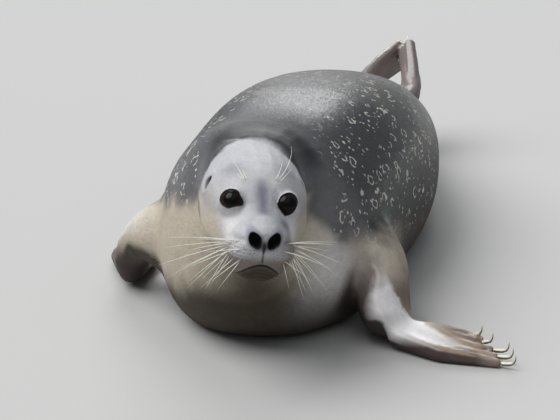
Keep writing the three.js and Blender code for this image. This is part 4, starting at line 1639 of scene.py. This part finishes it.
def build_claws(limb, side_name, material, tree):
    """The five claws of one flipper, rounded and set into the skin."""
    nodes = [f"{limb}_claw_{side_name}_{digit}" for digit in DIGITS]
    name = f"claws_{limb}_{side_name}"
    claws = add_object(name, mesh_of(name, merged_solids(nodes, CLAW_SWELL)))
    apply_modifier(claws, "REMESH", mode="VOXEL", voxel_size=CLAW_VOXELS[limb], adaptivity=0.0)
    smooth(claws, "claws")
    sink_roots(claws, tree)
    write_values(claws.data, "below", ramp(normals(claws.data)[:, 2], 0.05, -0.45))
    finish_piece(claws, material, "claw", nodes)


def build_all_claws(material):
    """Fore and hind claws, left and right."""
    tree = skin_tree()
    for side_name in SIDES:
        for limb in CLAW_VOXELS:
            build_claws(limb, side_name, material, tree)


# ---- the stage -----------------------------------------------------------------------------------
# The camera: degrees round and up, metres away, its lens, how far the aim is moved to the right and
# up, in steps of the frame's width, and where it aims in the body's frame.
CAMERA = {"turn": 14.5, "rise": 18.5, "far": 2.600, "lens": 138.4, "right": -16.5, "up": -31.0}
AIM = (65, -300, 200)
FRAME_STEPS = 560
SENSOR = 36.0
CLIP_END = 50
# The suns: how wide each is in degrees, its power and the way that it shines.
SUNS = {
    "key": (50, 2.7, (0.56, 0.12, -0.82)),
    "overhead": (70, 0.5, (0.0, 0.30, -1.0)),
    "behind": (34, 1.05, (0.24, -0.80, -0.56)),
}
SKY_POWER = 0.26
FLOOR = {"half": 12, "roughness": 0.75}


def build_camera():
    """The camera in front of the seal, to its left and above."""
    turn, rise = math.radians(CAMERA["turn"]), math.radians(CAMERA["rise"])
    flat = math.cos(rise)
    back = Vector((math.sin(turn) * flat, -math.cos(turn) * flat, math.sin(rise)))
    right = Vector((math.cos(turn), math.sin(turn), 0))
    up = back.cross(right)
    step = CAMERA["far"] / (CAMERA["lens"] / SENSOR * FRAME_STEPS)
    spot = Vector(from_body(AIM)) + back * CAMERA["far"]
    spot -= (right * CAMERA["right"] + up * CAMERA["up"]) * step
    data = bpy.data.cameras.new("camera")
    data.lens = CAMERA["lens"]
    data.sensor_width = SENSOR
    data.clip_end = CLIP_END
    camera = add_object("camera", data)
    camera.matrix_world = Matrix.Translation(spot) @ Matrix((right, up, back)).transposed().to_4x4()
    bpy.context.scene.camera = camera


def add_sun(name, spread, power, way):
    """An even soft light from one part of the sky: way points at the seal."""
    data = bpy.data.lights.new(name, "SUN")
    data.angle = math.radians(spread)
    data.energy = power
    light = add_object(name, data)
    light.matrix_world = (-Vector(way)).to_track_quat("Z", "Y").to_matrix().to_4x4()


def build_floor(colours):
    """A plain pale floor."""
    work = bmesh.new()
    bmesh.ops.create_grid(work, x_segments=1, y_segments=1, size=FLOOR["half"])
    floor = add_object("floor", mesh_of("floor", work))
    shader = Shader("floor")
    shader.set(base_color=rgba(colours.floor), roughness=FLOOR["roughness"])
    floor.data.materials.append(shader.material)


def build_sky(colours):
    """Even, faintly blue light from all round."""
    world = bpy.data.worlds.new("sky")
    world.use_nodes = True
    sky = world.node_tree.nodes["Background"]
    sky.inputs["Color"].default_value = rgba(colours.sky)
    sky.inputs["Strength"].default_value = SKY_POWER
    bpy.context.scene.world = world


def build_stage(colours):
    """The floor, soft light from above and ahead, the sky and the camera."""
    build_floor(colours)
    for name, (spread, power, way) in SUNS.items():
        add_sun(name, spread, power, way)
    build_sky(colours)
    bpy.context.scene.view_settings.view_transform = "Standard"
    build_camera()


# ---- the add-on ----------------------------------------------------------------------------------
class SEAL_OT_skin(bpy.types.Operator):
    """Build the seal's skin"""

    bl_idname = "seal.skin"
    bl_label = "Skin"

    def execute(self, context):
        build_skin(context.scene.seal_sizes, context.scene.seal_colours)
        return {"FINISHED"}


class SEAL_OT_eyes(bpy.types.Operator):
    """Build both eyeballs"""

    bl_idname = "seal.eyes"
    bl_label = "Eyes"

    def execute(self, context):
        material = eye_material(context.scene.seal_colours)
        for side_name in SIDES:
            build_eye(side_name, material)
        return {"FINISHED"}


class SEAL_OT_coat(bpy.types.Operator):
    """Build the coat's tufts over the skin"""

    bl_idname = "seal.coat"
    bl_label = "Coat"

    def execute(self, context):
        build_coat(context.scene.seal_sizes, bpy.data.materials["seal_fur"])
        return {"FINISHED"}


class SEAL_OT_whiskers(bpy.types.Operator):
    """Build the whiskers, brow hairs and their follicles"""

    bl_idname = "seal.whiskers"
    bl_label = "Whiskers"

    def execute(self, context):
        colours = context.scene.seal_colours
        build_whiskers(context.scene.seal_sizes, whisker_material(colours))
        build_follicles(follicle_material(colours))
        return {"FINISHED"}


class SEAL_OT_claws(bpy.types.Operator):
    """Build the claws of all four flippers"""

    bl_idname = "seal.claws"
    bl_label = "Claws"

    def execute(self, context):
        build_all_claws(claw_material(context.scene.seal_colours))
        return {"FINISHED"}


class SEAL_OT_stage(bpy.types.Operator):
    """Build the floor, lights and camera"""

    bl_idname = "seal.stage"
    bl_label = "Stage"

    def execute(self, context):
        build_stage(context.scene.seal_colours)
        return {"FINISHED"}


OPERATORS = (SEAL_OT_skin, SEAL_OT_coat, SEAL_OT_eyes, SEAL_OT_whiskers, SEAL_OT_claws, SEAL_OT_stage)


class SEAL_PT_panel(bpy.types.Panel):
    """The seal's pieces, sizes and colours"""

    bl_idname = "SEAL_PT_panel"
    bl_label = "Harbor Seal"
    bl_space_type = "VIEW_3D"
    bl_region_type = "UI"
    bl_category = "Seal"

    def draw(self, context):
        for operator in OPERATORS:
            self.layout.operator(operator.bl_idname)
        for group in (context.scene.seal_sizes, context.scene.seal_colours):
            for name in group.__annotations__:
                self.layout.prop(group, name)


CLASSES = (SealSizes, SealColours, *OPERATORS, SEAL_PT_panel)


def register():
    """Adds the classes and the scene's settings."""
    for item in CLASSES:
        bpy.utils.register_class(item)
    bpy.types.Scene.seal_sizes = bpy.props.PointerProperty(type=SealSizes)
    bpy.types.Scene.seal_colours = bpy.props.PointerProperty(type=SealColours)


def unregister():
    """Takes them away again."""
    del bpy.types.Scene.seal_sizes
    del bpy.types.Scene.seal_colours
    for item in reversed(CLASSES):
        bpy.utils.unregister_class(item)


def main():
    """Builds every piece in order."""
    register()
    bpy.ops.seal.skin()
    bpy.ops.seal.coat()
    bpy.ops.seal.eyes()
    bpy.ops.seal.whiskers()
    bpy.ops.seal.claws()
    bpy.ops.seal.stage()


if __name__ == "__main__":
    main()
